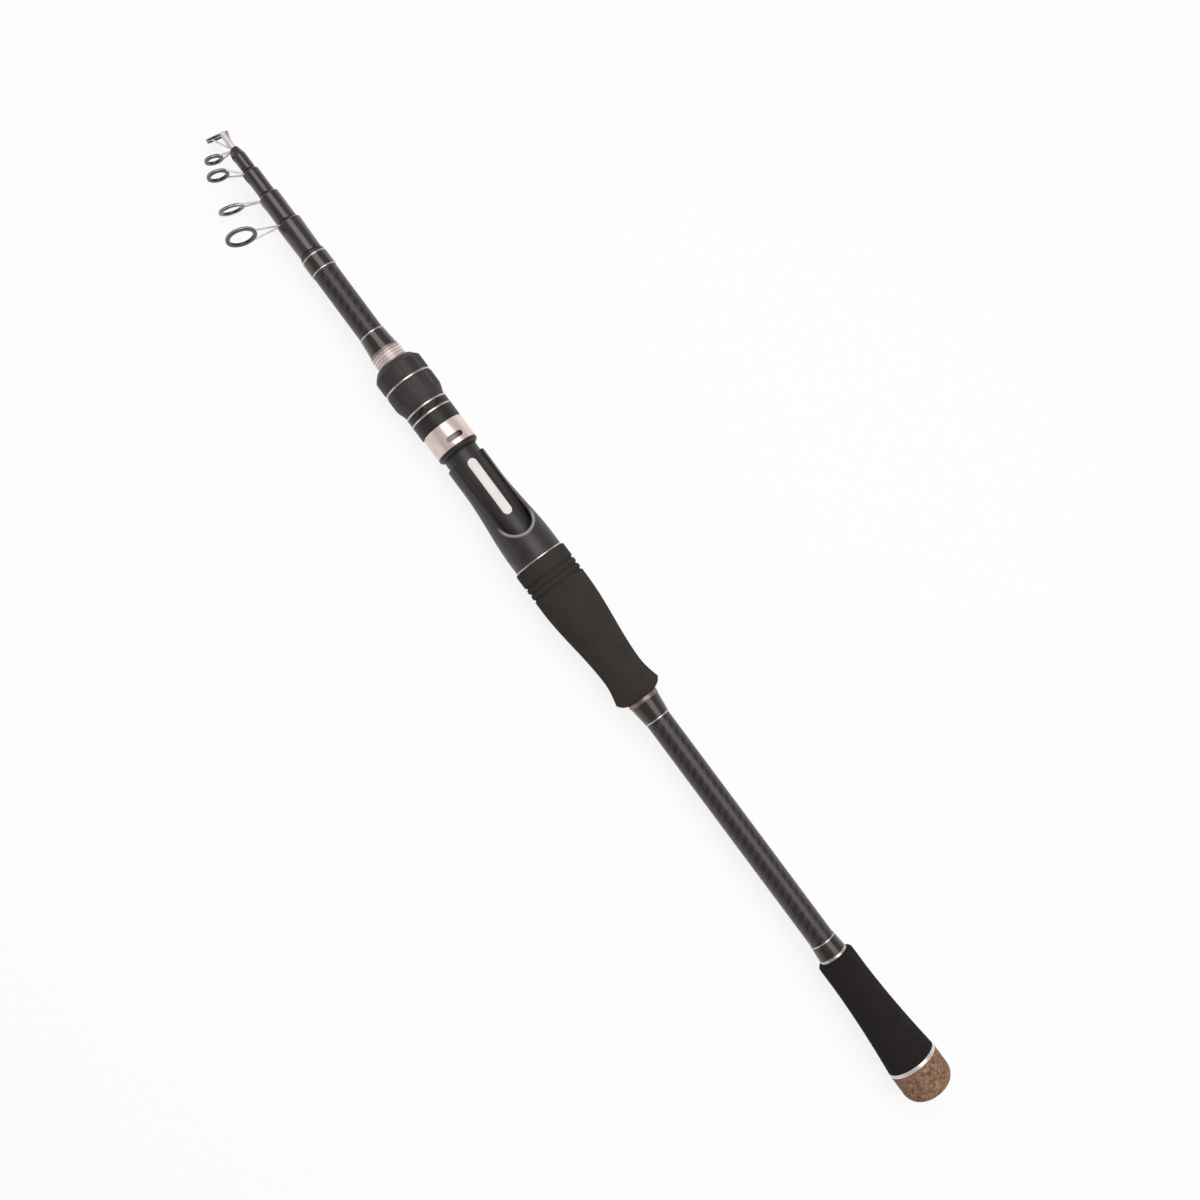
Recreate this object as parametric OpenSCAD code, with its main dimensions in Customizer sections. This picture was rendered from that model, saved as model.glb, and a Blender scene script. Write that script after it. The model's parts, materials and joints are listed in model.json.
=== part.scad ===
// Telescopic fishing rod, closed up. X runs along the rod from the butt cap to the tip and the
// reel sits on +Z. The origin is the centre of the butt cap's end face.

/* [Butt cap] */
// Length of the cork cap
cap_len = 16.3; // [14:0.1:22]
// Diameter of the cork cap and of the ring in front of it
cap_d = 23.8; // [22:0.1:27]
// Radius of the rounded end of the cork cap
cap_round = 7.2; // [3:0.1:9]
// Thickness of the ring in front of the cork cap
butt_ring_t = 1.8; // [1.2:0.1:3]
// Length of the cap's screw thread
cap_thread_len = 12; // [9:0.5:13]

/* [Rear grip] */
// Length of the rear grip
rear_grip_len = 56; // [48:0.5:80]
// Diameter of the rear grip at its butt end
rear_grip_butt_d = 23.4; // [21:0.1:26]
// Diameter of the rear grip's slim front part
rear_grip_d = 17.6; // [16:0.1:20]
// Radius of the rear grip's front edge
rear_grip_round = 1.6; // [0.5:0.1:3]

/* [Butt blank] */
// Outside diameter of the butt blank
blank_d = 11.66; // [11.3:0.02:12.2]
// Wall of the butt blank at its front end
blank_wall = 0.9; // [0.8:0.05:1]
// Length from the rear grip's check to the main grip's check
bare_len = 138.1; // [100:0.1:200]
// Length of blank in front of the reel seat's thread
fore_len = 53.2; // [40:0.1:90]
// Diameter of the whipping behind the blank's front end
front_whipping_d = 12.4; // [12.3:0.05:13]
// Width of the bright rings on the blank
trim_ring_t = 0.7; // [0.4:0.1:1.2]

/* [Main grip] */
// Length of the main grip
grip_len = 75.1; // [65:0.1:110]
// Diameter of the main grip's front swell
grip_d = 25.6; // [24:0.1:29]
// Diameter of the main grip's waist
waist_d = 19.14; // [17:0.02:22]
// Diameter of the flare at the grip's rear end
flare_d = 22.8; // [19.6:0.1:25]
// Radius of the grooves round the front swell
groove_r = 0.6; // [0.3:0.1:0.9]
// Spacing of the grooves
groove_pitch = 3.1; // [2.2:0.1:4]

/* [Reel seat] */
// Length of the seat body
seat_len = 53.5; // [50:0.5:70]
// Diameter of the seat body where it meets the grip
seat_rear_d = 23.7; // [23:0.1:25]
// Diameter of the seat body at its slim front part
seat_front_d = 19; // [18.4:0.1:20]
// Diameter of the barrel that the reel foot rests on
barrel_d = 16.4; // [16:0.1:16.8]
// Width of the channel for the reel foot
channel_w = 15; // [12:0.1:15.6]
// Length of the pale inlay in the bed
inlay_len = 29.4; // [20:0.1:31]
// Width of the pale inlay
inlay_w = 4.4; // [3:0.1:6]
// Gap between the seat body and the sliding hood as shown
hood_gap = 4.4; // [4.2:0.1:6]

/* [Sliding hood and lock nut] */
// Width across the hood's metal shell
hood_w = 19.4; // [19.2:0.1:20]
// Height added to the hood for the reel foot
hood_rise = 2; // [1.5:0.1:3]
// Length of the hood's metal shell
shell_len = 11; // [10:0.1:14]
// Wall of the hood's metal shell
shell_wall = 0.7; // [0.6:0.05:0.8]
// Largest diameter of the lock nut
nut_d = 23.3; // [22.6:0.1:26]
// Diameter of the nut's tail
nut_tail_d = 20.5; // [20:0.1:21]
// Length of the nut's front collar
nut_collar_len = 10.2; // [8:0.1:14]
// Length of the nut's finger grip
nut_grip_len = 12.8; // [10:0.1:16]
// Number of finger flutes round the nut
flute_count = 8; // [6:1:12]
// Depth of the finger flutes
flute_depth = 0.45; // [0.2:0.05:0.7]
// Outside diameter of the seat thread
thread_d = 14.8; // [13.4:0.1:15]
// Pitch of the seat thread
thread_pitch = 1.5; // [1:0.25:2]
// Length of thread in front of the nut as shown
thread_show = 7.2; // [5.6:0.1:9]

/* [Sliding sections] */
// Length of each section that stands out of the one before it
collar_len = [17.6, 14.9, 13.2, 12]; // [9:0.1:30]
// Diameter of the lacquered collar on each section
collar_d = [11.6, 9.7, 7.6, 6.2]; // [5.6:0.1:13]
// Wall of each section
tube_wall = [0.75, 0.65, 0.55, 0.45]; // [0.4:0.05:0.9]
// Diameter that a section loses for each millimetre of its length
taper = 0.0018; // [0.0012:0.0001:0.002]
// Overlap that is left in the butt blank at full length
first_overlap = 80; // [60:1:110]
// Overlap that each further section gives up
overlap_step = 6; // [0:1:8]

/* [Line guides] */
// Outside diameter of each guide's eye
eye_d = [14, 11.8, 10.1, 8.5]; // [7.6:0.1:18]
// Hole through each guide's ring
eye_hole_d = [10.2, 8.2, 6.6, 5]; // [3:0.1:12]
// Distance of each eye from the rod's axis
eye_height = [25, 17.5, 13, 9.9]; // [9.4:0.1:30]
// Distance of each eye in front of its collar
eye_forward = [1.3, 6.1, 5.1, 0.9]; // [0.8:0.1:7]
// Turn of each section round the rod, from +Y towards +Z
eye_turn = [24, -29, 3, -8]; // [-180:1:180]
// Lean of the eyes towards the tip
eye_lean = 16; // [0:1:20]
// Diameter of the guides' wires
wire_d = 0.9; // [0.6:0.05:1.1]

/* [Tip top] */
// Outside diameter of the tip eye
tip_eye_d = 10.5; // [8.5:0.1:13]
// Hole through the tip ring
tip_hole_d = 5.6; // [3:0.1:6]
// Length of the tip tube
tip_tube_len = 8.7; // [6:0.1:12]
// Outside diameter of the tip tube
tip_tube_d = 2.8; // [2.4:0.1:3.4]
// Lean of the tip eye, which is soldered to the end of its tube
tip_lean = 28; // [15:1:32]
// Turn of the tip top round the rod, from +Y towards +Z
tip_turn = -77; // [-180:1:180]

/* [Hidden] */
$fn = 96;

// Radial clearances: a turning or sliding fit, a loose fit, and the last section's jam
run_gap = 0.05;
slide_gap = 0.1;
jam_gap = 0.04;
// Axial play between parts that turn against each other
end_play = 0.2;
// Half of the taper, for radii
taper_r = taper / 2;
// Steps in a curved outline, and the length by which a cut stands out of what it cuts
curve_steps = 16;
cut_spare = 1;

// Butt cap and rear grip
cap_r = cap_d / 2;
cap_stem_r = 7.5;
cap_stem_len = 9;
cap_thread_r = 6.15;
pad_r = 4.6;
pad_len = 6;
ferrule_wall = 1.2;
ferrule_thread_r = cap_thread_r + run_gap;
ferrule_r = ferrule_thread_r + ferrule_wall;
ferrule_thread_len = 14;
ferrule_seat_len = 13;
rear_check_t = 1.6;
rear_check_r = 6.8;
rear_whipping_len = 6.6;
rear_whipping_r = 6.75;
whipping_end_r = 6.1;
rear_grip_taper = 45;
rear_grip_power = 1.7;

x_ring = cap_len;
x_rear = x_ring + butt_ring_t;
x_blank = x_rear + ferrule_thread_len;
x_ferrule_end = x_blank + ferrule_seat_len;
x_rear_front = x_rear + rear_grip_len;
x_rear_check = x_rear_front + rear_check_t;

// Blank and main grip
blank_r = blank_d / 2;
trim_ring_h = 0.32;
trim_ring_r = blank_r + trim_ring_h;
bore_lead = 40;
grip_check_t = 2.2;
grip_check_r = 7.4;
grip_whipping_len = 8.9;
grip_whipping_r = 7.15;
seam_t = 0.8;
seam_proud = 0.1;
seam_r = seat_rear_d / 2 + seam_proud;
grip_swell_len = 19;
flare_len = 11;
flare_bevel_len = 3.2;
flare_bevel = 3.6;
grip_edge = 0.4;
first_groove = 7.3;
groove_count = 3;

x_check = x_rear_check + bare_len;
x_grip = x_check + grip_check_t;
x_seam = x_grip + grip_len;
x_seat = x_seam + seam_t;

// Reel seat
barrel_r = barrel_d / 2;
barrel_in_r = 6.9;
barrel_front = 12.2;
inlay_depth = 0.7;
inlay_proud = 0.06;
inlay_from_step = 1.4;
seat_swell = 5;
seat_fall = 36;
mouth_from_rear = 19.5;
pocket_from_rear = 3;
pocket_height = 2.2;
channel_floor = 5;
arbor_len = 11;
arbor_inset = 3;
x_step = x_seat + seat_len;
x_barrel_end = x_step + hood_gap + barrel_front;
x_first_arbor = x_seat + arbor_inset;
x_last_arbor = x_barrel_end - arbor_inset - arbor_len;

// Sliding hood, nut and thread
hood_r = hood_w / 2;
hood_d = hood_w + hood_rise;
liner_r = hood_r - shell_wall;
lip_len = 2.2;
lip_bevel = 1;
lip_spare = 0.2;
liner_root = 0.5;
liner_bore = barrel_r + slide_gap;
foot_pocket_len = 10;
foot_pocket_w = 14;
foot_pocket_roof = 0.6;
window_w = 8;
window_len = 2.6;
window_from_lip = 5.6;
spigot_len = 6;
spigot_neck_len = 3;
spigot_wall = 0.6;
spigot_flange = 0.4;
spigot_r = liner_bore + spigot_wall;
spigot_flange_r = spigot_r + spigot_flange;
nut_core_r = 8.6;
nut_tail_len = 7;
nut_band_len = 3.3;
nut_ring_t = 0.7;
nut_ring_proud = 0.15;
nut_ring_inset = 0.35;
nut_band_inset = 0.05;
nut_step = 0.2;
nut_edge_len = 1;
nut_edge_r = 0.6;
nut_bevel = 2.6;
nut_bevel_lead = 0.6;
nut_bevel_drop = 0.25;
flute_r = 7;
thread_r = thread_d / 2;
thread_depth = 0.6;
thread_crest = 0.4;
nut_bore = thread_r + run_gap;
fore_whipping_len = 8.5;
fore_whipping_r = 6.78;
front_whipping_len = 6.5;
front_ring_back = 1.6;
x_lip = x_step + hood_gap;
x_shell = x_lip + lip_len;
x_tail = x_shell + shell_len;
x_band = x_tail + nut_tail_len;
x_nut_grip = x_band + nut_band_len + 2 * nut_ring_t;
x_front_ring = x_nut_grip + nut_grip_len;
x_nut_collar = x_front_ring + nut_ring_t;
x_nut_front = x_nut_collar + nut_collar_len;
x_thread_end = x_nut_front + thread_show;
x_mouth = x_thread_end + fore_len;
x_front_whipping = x_mouth - front_ring_back - trim_ring_t - front_whipping_len;

// Sliding sections: index 0 is the second section of the rod, index 4 is the tip
base_inset = 8;
first_base = x_blank + base_inset;
base_step = 1;
sleeve_len = 7;
sleeve_wall = 0.35;
lip_depth = 0.9;
shoulder = 0.35;
lip_bevel_r = 0.5;
collar_bevel = 0.6;
seat_play = 0.1;
function x_end(i) = i < 0 ? x_mouth : x_end(i - 1) + collar_len[i];
function x_base(i) = first_base + base_step * i;
function travel(i) = x_end(i - 1) - (first_overlap - overlap_step * i) - x_base(i);
function mouth_r(i) = i < 0 ? blank_r - blank_wall : section_r(i) - tube_wall[i];
function section_r(i) = mouth_r(i - 1) - taper_r * travel(i) - jam_gap;

// Guides
band_wall = 0.45;
band_t = 1.1;
ring_t = 1.9;
ring_edge = 0.5;
foot_spread = 0.6;
leg_angle = 42;
tip_wall_play = 0.05;
tip_lid_t = 0.5;
tip_end_play = 0.1;
tip_foot = 1;
x_tip_tube = x_end(3) + seat_play;
x_tip_end = x_tip_tube + tip_tube_len;
tip_leg_angle = 55;
tip_solder = 0.5;
tip_eye_height = tip_tube_d / 2 + tip_eye_d / 2 * cos(tip_lean);
tip_eye_forward = tip_eye_d / 2 * sin(tip_lean) - tip_solder;

function smooth(u) = u * u * (3 - 2 * u);
function arc(x, r, rad, from, to) =
    [for (i = [0:curve_steps]) let (a = from + (to - from) * i / curve_steps)
        [x + rad * cos(a), r + rad * sin(a)]];

// A solid turned about the rod's axis from [x, radius] points
module turned(points) {
    rotate([0, 90, 0])
        rotate_extrude()
            polygon([for (p = points) [p[1], p[0]]]);
}

module sleeve(x0, x1, r_in, r_out) {
    turned([[x0, r_in], [x1, r_in], [x1, r_out], [x0, r_out]]);
}

module cone_sleeve(x0, x1, r_in, r0, r1) {
    turned([[x0, r_in], [x1, r_in], [x1, r1], [x0, r0]]);
}

// Extrudes a drawing in the Y-Z plane along X
module along_rod(x0, len) {
    translate([x0, 0, 0])
        rotate([90, 0, 90])
            linear_extrude(len)
                children();
}

module racetrack(r) {
    circle(r);
    translate([0, hood_rise])
        circle(r);
    translate([-r, 0])
        square([2 * r, hood_rise]);
}

module stadium(len, w) {
    square([len - w, w], center = true);
    for (side = [-1, 1])
        translate([side * (len - w) / 2, 0])
            circle(w / 2);
}

module between(p, q, r) {
    v = q - p;
    len = norm(v);
    translate(p)
        rotate([0, acos(v[2] / len), atan2(v[1], v[0])])
            cylinder(h = len, r = r);
}

// Butt cap
module cork_cap() {
    round_end = arc(cap_round, cap_r - cap_round, cap_round, 180, 90);
    stem_x = cap_len - cap_stem_len;
    color("burlywood")
        turned(concat(
            [[0, 0]],
            round_end,
            [[cap_len, cap_r], [cap_len, cap_stem_r], [stem_x, cap_stem_r], [stem_x, 0]]));
}

module cap_screw() {
    color("dimgray")
        turned([
            [cap_len - cap_stem_len, 0], [cap_len - cap_stem_len, cap_stem_r], [cap_len, cap_stem_r],
            [cap_len, cap_thread_r], [x_rear + cap_thread_len, cap_thread_r],
            [x_rear + cap_thread_len, 0]]);
}

module cap_pad() {
    x0 = x_rear + cap_thread_len;
    color("black")
        turned([[x0, 0], [x0 + pad_len, 0], [x0 + pad_len, pad_r], [x0, pad_r]]);
}

module butt_ring() {
    color("silver")
        sleeve(x_ring, x_rear, ferrule_thread_r, cap_r);
}

module butt_ferrule() {
    color("gray")
        turned([
            [x_rear, ferrule_thread_r], [x_blank, ferrule_thread_r], [x_blank, blank_r],
            [x_ferrule_end, blank_r], [x_ferrule_end, ferrule_r], [x_rear, ferrule_r]]);
}

// Rear grip
module rear_grip() {
    slim_r = rear_grip_d / 2;
    swell = rear_grip_butt_d / 2 - slim_r;
    taper_end = min(rear_grip_taper, rear_grip_len - rear_grip_round);
    outline = [for (i = [0:curve_steps]) let (u = i / curve_steps)
        [x_rear + u * taper_end, slim_r + swell * pow(1 - u, rear_grip_power)]];
    edge = arc(x_rear_front - rear_grip_round, slim_r - rear_grip_round, rear_grip_round, 90, 0);
    color("dimgray")
        turned(concat(
            [[x_rear, ferrule_r]],
            outline,
            edge,
            [[x_rear_front, blank_r], [x_ferrule_end, blank_r], [x_ferrule_end, ferrule_r]]));
}

module rear_check() {
    color("silver")
        sleeve(x_rear_front, x_rear_check, blank_r, rear_check_r);
}

module rear_whipping() {
    color("black")
        cone_sleeve(x_rear_check, x_rear_check + rear_whipping_len, blank_r, rear_whipping_r,
            whipping_end_r);
}

// Butt blank and what is bound on it
module butt_blank() {
    jam_len = first_overlap + bore_lead;
    bore = blank_r - blank_wall;
    rear_bore = bore + taper_r * jam_len;
    color("dimgray")
        turned([
            [x_blank, rear_bore], [x_mouth - jam_len, rear_bore], [x_mouth, bore],
            [x_mouth, blank_r], [x_blank, blank_r]]);
}

module blank_trim_rings() {
    places = [
        x_rear_check + rear_whipping_len,
        x_check - grip_whipping_len - trim_ring_t,
        x_thread_end + fore_whipping_len,
        x_front_whipping - trim_ring_t,
        x_front_whipping + front_whipping_len
    ];
    color("silver")
        for (x = places)
            sleeve(x, x + trim_ring_t, blank_r, trim_ring_r);
}

module grip_whipping() {
    color("black")
        cone_sleeve(x_check - grip_whipping_len, x_check, blank_r, whipping_end_r, grip_whipping_r);
}

module grip_check() {
    color("silver")
        sleeve(x_check, x_grip, blank_r, grip_check_r);
}

module fore_whipping() {
    color("black")
        cone_sleeve(x_thread_end, x_thread_end + fore_whipping_len, blank_r, fore_whipping_r,
            whipping_end_r);
}

module front_whipping() {
    color("black")
        sleeve(x_front_whipping, x_front_whipping + front_whipping_len, blank_r,
            front_whipping_d / 2);
}

// Main grip: a ringed front swell that falls to a waist and flares again at the rear
module main_grip() {
    swell_r = grip_d / 2;
    waist_r = waist_d / 2;
    flare_r = flare_d / 2;
    fall_x = x_seam - grip_swell_len;
    waist_x = fall_x - (grip_len - grip_swell_len - flare_len - flare_bevel_len);
    flare_x = x_grip + flare_bevel_len;
    flare = [for (i = [0:curve_steps]) let (u = i / curve_steps)
        [flare_x + u * flare_len, flare_r - (flare_r - waist_r) * sin(90 * u)]];
    fall = [for (i = [1:curve_steps]) let (u = i / curve_steps)
        [waist_x + u * (fall_x - waist_x), waist_r + (swell_r - waist_r) * smooth(u)]];
    color("dimgray")
        difference() {
            turned(concat(
                [[x_grip, blank_r], [x_grip, flare_r - flare_bevel]],
                flare,
                fall,
                [[x_seam - grip_edge, swell_r], [x_seam, swell_r - grip_edge], [x_seam, blank_r]]));
            for (i = [0:groove_count - 1])
                translate([x_seam - first_groove - i * groove_pitch, 0, 0])
                    rotate([0, 90, 0])
                        rotate_extrude()
                            translate([swell_r, 0])
                                circle(groove_r, $fn = 32);
        }
}

// Reel seat
module seam_ring() {
    color("silver")
        sleeve(x_seam, x_seat, blank_r, seam_r);
}

module seat_arbors() {
    color("tan")
        for (x = [x_first_arbor, (x_first_arbor + x_last_arbor) / 2, x_last_arbor])
            sleeve(x, x + arbor_len, blank_r, barrel_in_r);
}

module inlay_outline(depth_r) {
    x_mid = x_step - inlay_from_step - inlay_len / 2;
    intersection() {
        translate([x_mid, 0, 0])
            linear_extrude(2 * barrel_r)
                stadium(inlay_len, inlay_w);
        sleeve(x_mid - inlay_len, x_mid + inlay_len, barrel_r - inlay_depth, depth_r);
    }
}

module seat_barrel() {
    color("dimgray")
        difference() {
            sleeve(x_seat, x_barrel_end, barrel_in_r, barrel_r);
            inlay_outline(2 * barrel_r);
        }
}

module seat_inlay() {
    color("whitesmoke")
        inlay_outline(barrel_r + inlay_proud);
}

module seat_body() {
    front_r = seat_front_d / 2;
    swell = seat_rear_d / 2 - front_r;
    fall_x = x_seat + seat_swell;
    outline = [for (i = [0:curve_steps]) let (u = i / curve_steps)
        [fall_x + u * seat_fall, front_r + swell * (1 - smooth(u))]];
    mouth_x = x_seat + mouth_from_rear;
    color("dimgray")
        difference() {
            turned(concat(
                [[x_seat, barrel_r], [x_seat, seat_rear_d / 2]],
                outline,
                [[x_step, front_r], [x_step, barrel_r]]));
            translate([mouth_x, 0, channel_floor])
                linear_extrude(seat_rear_d)
                    union() {
                        circle(channel_w / 2);
                        translate([0, -channel_w / 2])
                            square([seat_len, channel_w]);
                    }
            intersection() {
                sleeve(x_seat + pocket_from_rear, mouth_x, barrel_r / 2, barrel_r + pocket_height);
                translate([x_seat, -channel_w / 2, channel_floor])
                    cube([seat_len, channel_w, seat_rear_d]);
            }
        }
}

// Thread that the lock nut runs on, as closed ridges
module thread_sleeve() {
    root_r = thread_r - thread_depth;
    count = floor((x_thread_end - x_barrel_end) / thread_pitch);
    flank = (thread_pitch - thread_crest) / 2 - thread_crest / 2;
    ridges = [for (i = [0:count - 1]) let (x = x_thread_end - (count - i) * thread_pitch)
        each [
            [x, root_r], [x + flank, thread_r], [x + flank + thread_crest, thread_r],
            [x + 2 * flank + thread_crest, root_r]
        ]];
    color("silver")
        turned(concat(
            [[x_barrel_end, blank_r], [x_barrel_end, root_r]],
            ridges,
            [[x_thread_end, root_r], [x_thread_end, blank_r]]));
}

// Sliding hood: a lined metal shell that is captive on the nut's tail
module hood_shell() {
    window_x = x_lip + window_from_lip;
    color("silver")
        difference() {
            along_rod(x_shell, shell_len)
                difference() {
                    racetrack(hood_r);
                    racetrack(liner_r);
                }
            translate([window_x, 0, liner_r])
                linear_extrude(hood_r)
                    rotate(90)
                        stadium(window_w, window_len);
        }
}

module hood_liner() {
    lip_centre = hood_rise / 2;
    lip_r = hood_r + lip_centre;
    color("black")
        difference() {
            union() {
                intersection() {
                    along_rod(x_lip, lip_len)
                        racetrack(hood_r);
                    translate([0, 0, lip_centre])
                        turned([
                            [x_lip, 0], [x_lip, lip_r - lip_bevel],
                            [x_lip + lip_bevel, lip_r + lip_spare], [x_shell, lip_r + lip_spare],
                            [x_shell, 0]]);
                }
                along_rod(x_shell - liner_root, shell_len + liner_root)
                    racetrack(liner_r);
                sleeve(x_tail - liner_root, x_tail + spigot_len, liner_bore, spigot_r);
                sleeve(x_tail + spigot_neck_len + end_play, x_tail + spigot_len, liner_bore,
                    spigot_flange_r);
            }
            sleeve(x_lip - cut_spare, x_tail + spigot_len + cut_spare, 0, liner_bore);
            along_rod(x_lip - cut_spare, foot_pocket_len + cut_spare)
                intersection() {
                    racetrack(liner_r - foot_pocket_roof);
                    translate([-foot_pocket_w / 2, 0])
                        square([foot_pocket_w, hood_d]);
                }
        }
}

// Lock nut
module nut_core() {
    color("gray")
        sleeve(x_tail + spigot_len + end_play, x_nut_front - nut_ring_t, nut_bore, nut_core_r);
}

module nut_tail() {
    neck_r = spigot_r + slide_gap;
    groove_wall_r = spigot_flange_r + slide_gap;
    groove_x = x_tail + spigot_neck_len;
    web_x = x_tail + spigot_len + end_play;
    color("dimgray")
        turned([
            [x_tail + end_play, neck_r], [groove_x, neck_r], [groove_x, groove_wall_r],
            [web_x, groove_wall_r], [web_x, nut_core_r], [x_band, nut_core_r],
            [x_band, nut_tail_d / 2], [x_tail + end_play, nut_tail_d / 2]]);
}

module nut_band() {
    color("darkslategray")
        sleeve(x_band + nut_ring_t, x_nut_grip - nut_ring_t, nut_core_r, nut_tail_d / 2 - nut_band_inset);
}

module nut_band_rings() {
    color("silver")
        for (x = [x_band, x_nut_grip - nut_ring_t])
            sleeve(x, x + nut_ring_t, nut_core_r, nut_tail_d / 2 + nut_ring_proud);
}

// Finger flutes round the nut between two places on the axis
module flutes(x0, x1) {
    for (i = [0:flute_count - 1])
        rotate([i * 360 / flute_count, 0, 0])
            translate([x0, 0, nut_d / 2 + flute_r - flute_depth])
                rotate([0, 90, 0])
                    cylinder(h = x1 - x0, r = flute_r);
}

module nut_grip() {
    big_r = nut_d / 2;
    tail_r = nut_tail_d / 2 - nut_step;
    swell_x = (x_nut_grip + x_front_ring) / 2;
    fall = [for (i = [0:curve_steps]) let (u = i / curve_steps)
        [x_nut_grip + u * (swell_x - x_nut_grip), tail_r + (big_r - tail_r) * smooth(u)]];
    color("dimgray")
        difference() {
            turned(concat(
                [[x_nut_grip, nut_core_r]],
                fall,
                [[x_front_ring - nut_edge_len, big_r], [x_front_ring, big_r - nut_edge_r],
                    [x_front_ring, nut_core_r]]));
            flutes(x_nut_grip, x_front_ring);
        }
}

module nut_front_ring() {
    color("silver")
        sleeve(x_front_ring, x_nut_collar, nut_core_r, nut_d / 2 - nut_ring_inset);
}

module nut_collar() {
    big_r = nut_d / 2;
    x_lid = x_nut_front - nut_ring_t;
    color("dimgray")
        difference() {
            turned([
                [x_nut_collar, nut_core_r], [x_nut_collar, big_r - nut_edge_r],
                [x_nut_collar + nut_edge_len, big_r], [x_nut_front - nut_bevel - nut_bevel_lead, big_r],
                [x_nut_front - nut_bevel, big_r - nut_bevel_drop], [x_nut_front, big_r - nut_bevel],
                [x_nut_front, nut_bore], [x_lid, nut_bore], [x_lid, nut_core_r]]);
            flutes(x_nut_collar, x_nut_front);
        }
}

// Sliding sections
module section_tube(i) {
    r = section_r(i);
    bore = mouth_r(i);
    x0 = x_base(i);
    x1 = x_end(i);
    bound = x_end(i - 1);
    color("dimgray")
        turned([
            [x0, bore + taper_r * (x1 - x0)], [x1, bore], [x1, r], [bound, r],
            [x0, r + taper_r * (bound - x0)]]);
}

// Lacquered binding that holds a guide's foot
module section_collar(i) {
    r = collar_d[i] / 2;
    bore = section_r(i) + run_gap;
    x0 = x_end(i - 1) + seat_play;
    x1 = x_end(i) - lip_depth;
    foot_x = x_end(i) - sleeve_len;
    color("black")
        turned(concat(
            [[x0, bore], [x0, r - collar_bevel], [x0 + collar_bevel, r]],
            arc(x1 - shoulder, r - shoulder, shoulder, 90, 0),
            [[x1, bore + sleeve_wall], [foot_x, bore + sleeve_wall], [foot_x, bore]]));
}

// Eye of a guide, in the eye's own frame: the line runs along X
module eye_band(d) {
    sleeve(-band_t / 2, band_t / 2, d / 2 - band_wall, d / 2);
}

// Dark ring in the eye, with rounded lips on both sides of its hole
module eye_ring(d, hole) {
    outer = d / 2 - band_wall;
    land = ring_t / 2 - ring_edge;
    lip = hole / 2 + ring_edge;
    turned(concat(
        [[ring_t / 2, outer]],
        arc(land, lip, ring_edge, 0, -90),
        arc(-land, lip, ring_edge, -90, -180),
        [[-ring_t / 2, outer]]));
}

// Puts an eye at its place beside the rod
module eye_place(x, height, turn, lean = eye_lean) {
    rotate([turn, 0, 0])
        translate([x, height, 0])
            rotate([0, 0, -lean])
                children();
}

// Two wires from a foot on the rod to the outside of an eye
module eye_legs(foot_x, foot_r, x, height, d, turn, lean = eye_lean, fork = leg_angle) {
    reach = d / 2 - band_wall;
    down = reach * cos(fork);
    eye = [x - down * sin(lean), height - down * cos(lean)];
    difference() {
        rotate([turn, 0, 0])
            for (side = [-1, 1])
                between([foot_x, foot_r, side * foot_spread],
                    [eye[0], eye[1], side * reach * sin(fork)], wire_d / 2);
        eye_place(x, height, turn, lean)
            sleeve(-reach, reach, 0, reach);
    }
}

module guide_frame(i) {
    bore = section_r(i) + run_gap;
    lip_r = collar_d[i] / 2 - shoulder;
    x1 = x_end(i);
    eye_x = x1 + eye_forward[i];
    color("silver")
        union() {
            turned([
                [x1 - sleeve_len, bore], [x1, bore], [x1, lip_r - lip_bevel_r],
                [x1 - lip_bevel_r, lip_r], [x1 - lip_depth, lip_r],
                [x1 - lip_depth, bore + sleeve_wall], [x1 - sleeve_len, bore + sleeve_wall]]);
            eye_place(eye_x, eye_height[i], eye_turn[i])
                eye_band(eye_d[i]);
            eye_legs(x1 - lip_depth / 2, (bore + lip_r) / 2, eye_x, eye_height[i], eye_d[i],
                eye_turn[i]);
        }
}

module guide_ring(i) {
    color("black")
        eye_place(x_end(i) + eye_forward[i], eye_height[i], eye_turn[i])
            eye_ring(eye_d[i], eye_hole_d[i]);
}

module second_section() section_tube(0);
module second_collar() section_collar(0);
module second_guide_frame() guide_frame(0);
module second_guide_ring() guide_ring(0);
module third_section() section_tube(1);
module third_collar() section_collar(1);
module third_guide_frame() guide_frame(1);
module third_guide_ring() guide_ring(1);
module fourth_section() section_tube(2);
module fourth_collar() section_collar(2);
module fourth_guide_frame() guide_frame(2);
module fourth_guide_ring() guide_ring(2);
module fifth_section() section_tube(3);
module fifth_collar() section_collar(3);
module fifth_guide_frame() guide_frame(3);
module fifth_guide_ring() guide_ring(3);

// Tip section: a solid tapered rod with a tubed guide on its end
module tip_section() {
    r = section_r(4);
    bound = x_end(3);
    x0 = x_base(4);
    x1 = x_tip_end - tip_lid_t - tip_end_play;
    color("dimgray")
        turned([[x0, 0], [x1, 0], [x1, r], [bound, r], [x0, r + taper_r * (bound - x0)]]);
}

module tip_frame() {
    bore = section_r(4) + tip_wall_play;
    tube_r = tip_tube_d / 2;
    x_lid = x_tip_end - tip_lid_t;
    eye_x = x_tip_end + tip_eye_forward;
    color("silver")
        union() {
            turned([
                [x_tip_tube, bore], [x_lid, bore], [x_lid, 0], [x_tip_end, 0], [x_tip_end, tube_r],
                [x_tip_tube, tube_r]]);
            eye_place(eye_x, tip_eye_height, tip_turn, tip_lean)
                eye_band(tip_eye_d);
            eye_legs(x_tip_tube + tip_foot, tube_r - wire_d / 2, eye_x, tip_eye_height, tip_eye_d,
                tip_turn, tip_lean, tip_leg_angle);
        }
}

module tip_ring() {
    color("black")
        eye_place(x_tip_end + tip_eye_forward, tip_eye_height, tip_turn, tip_lean)
            eye_ring(tip_eye_d, tip_hole_d);
}

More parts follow.
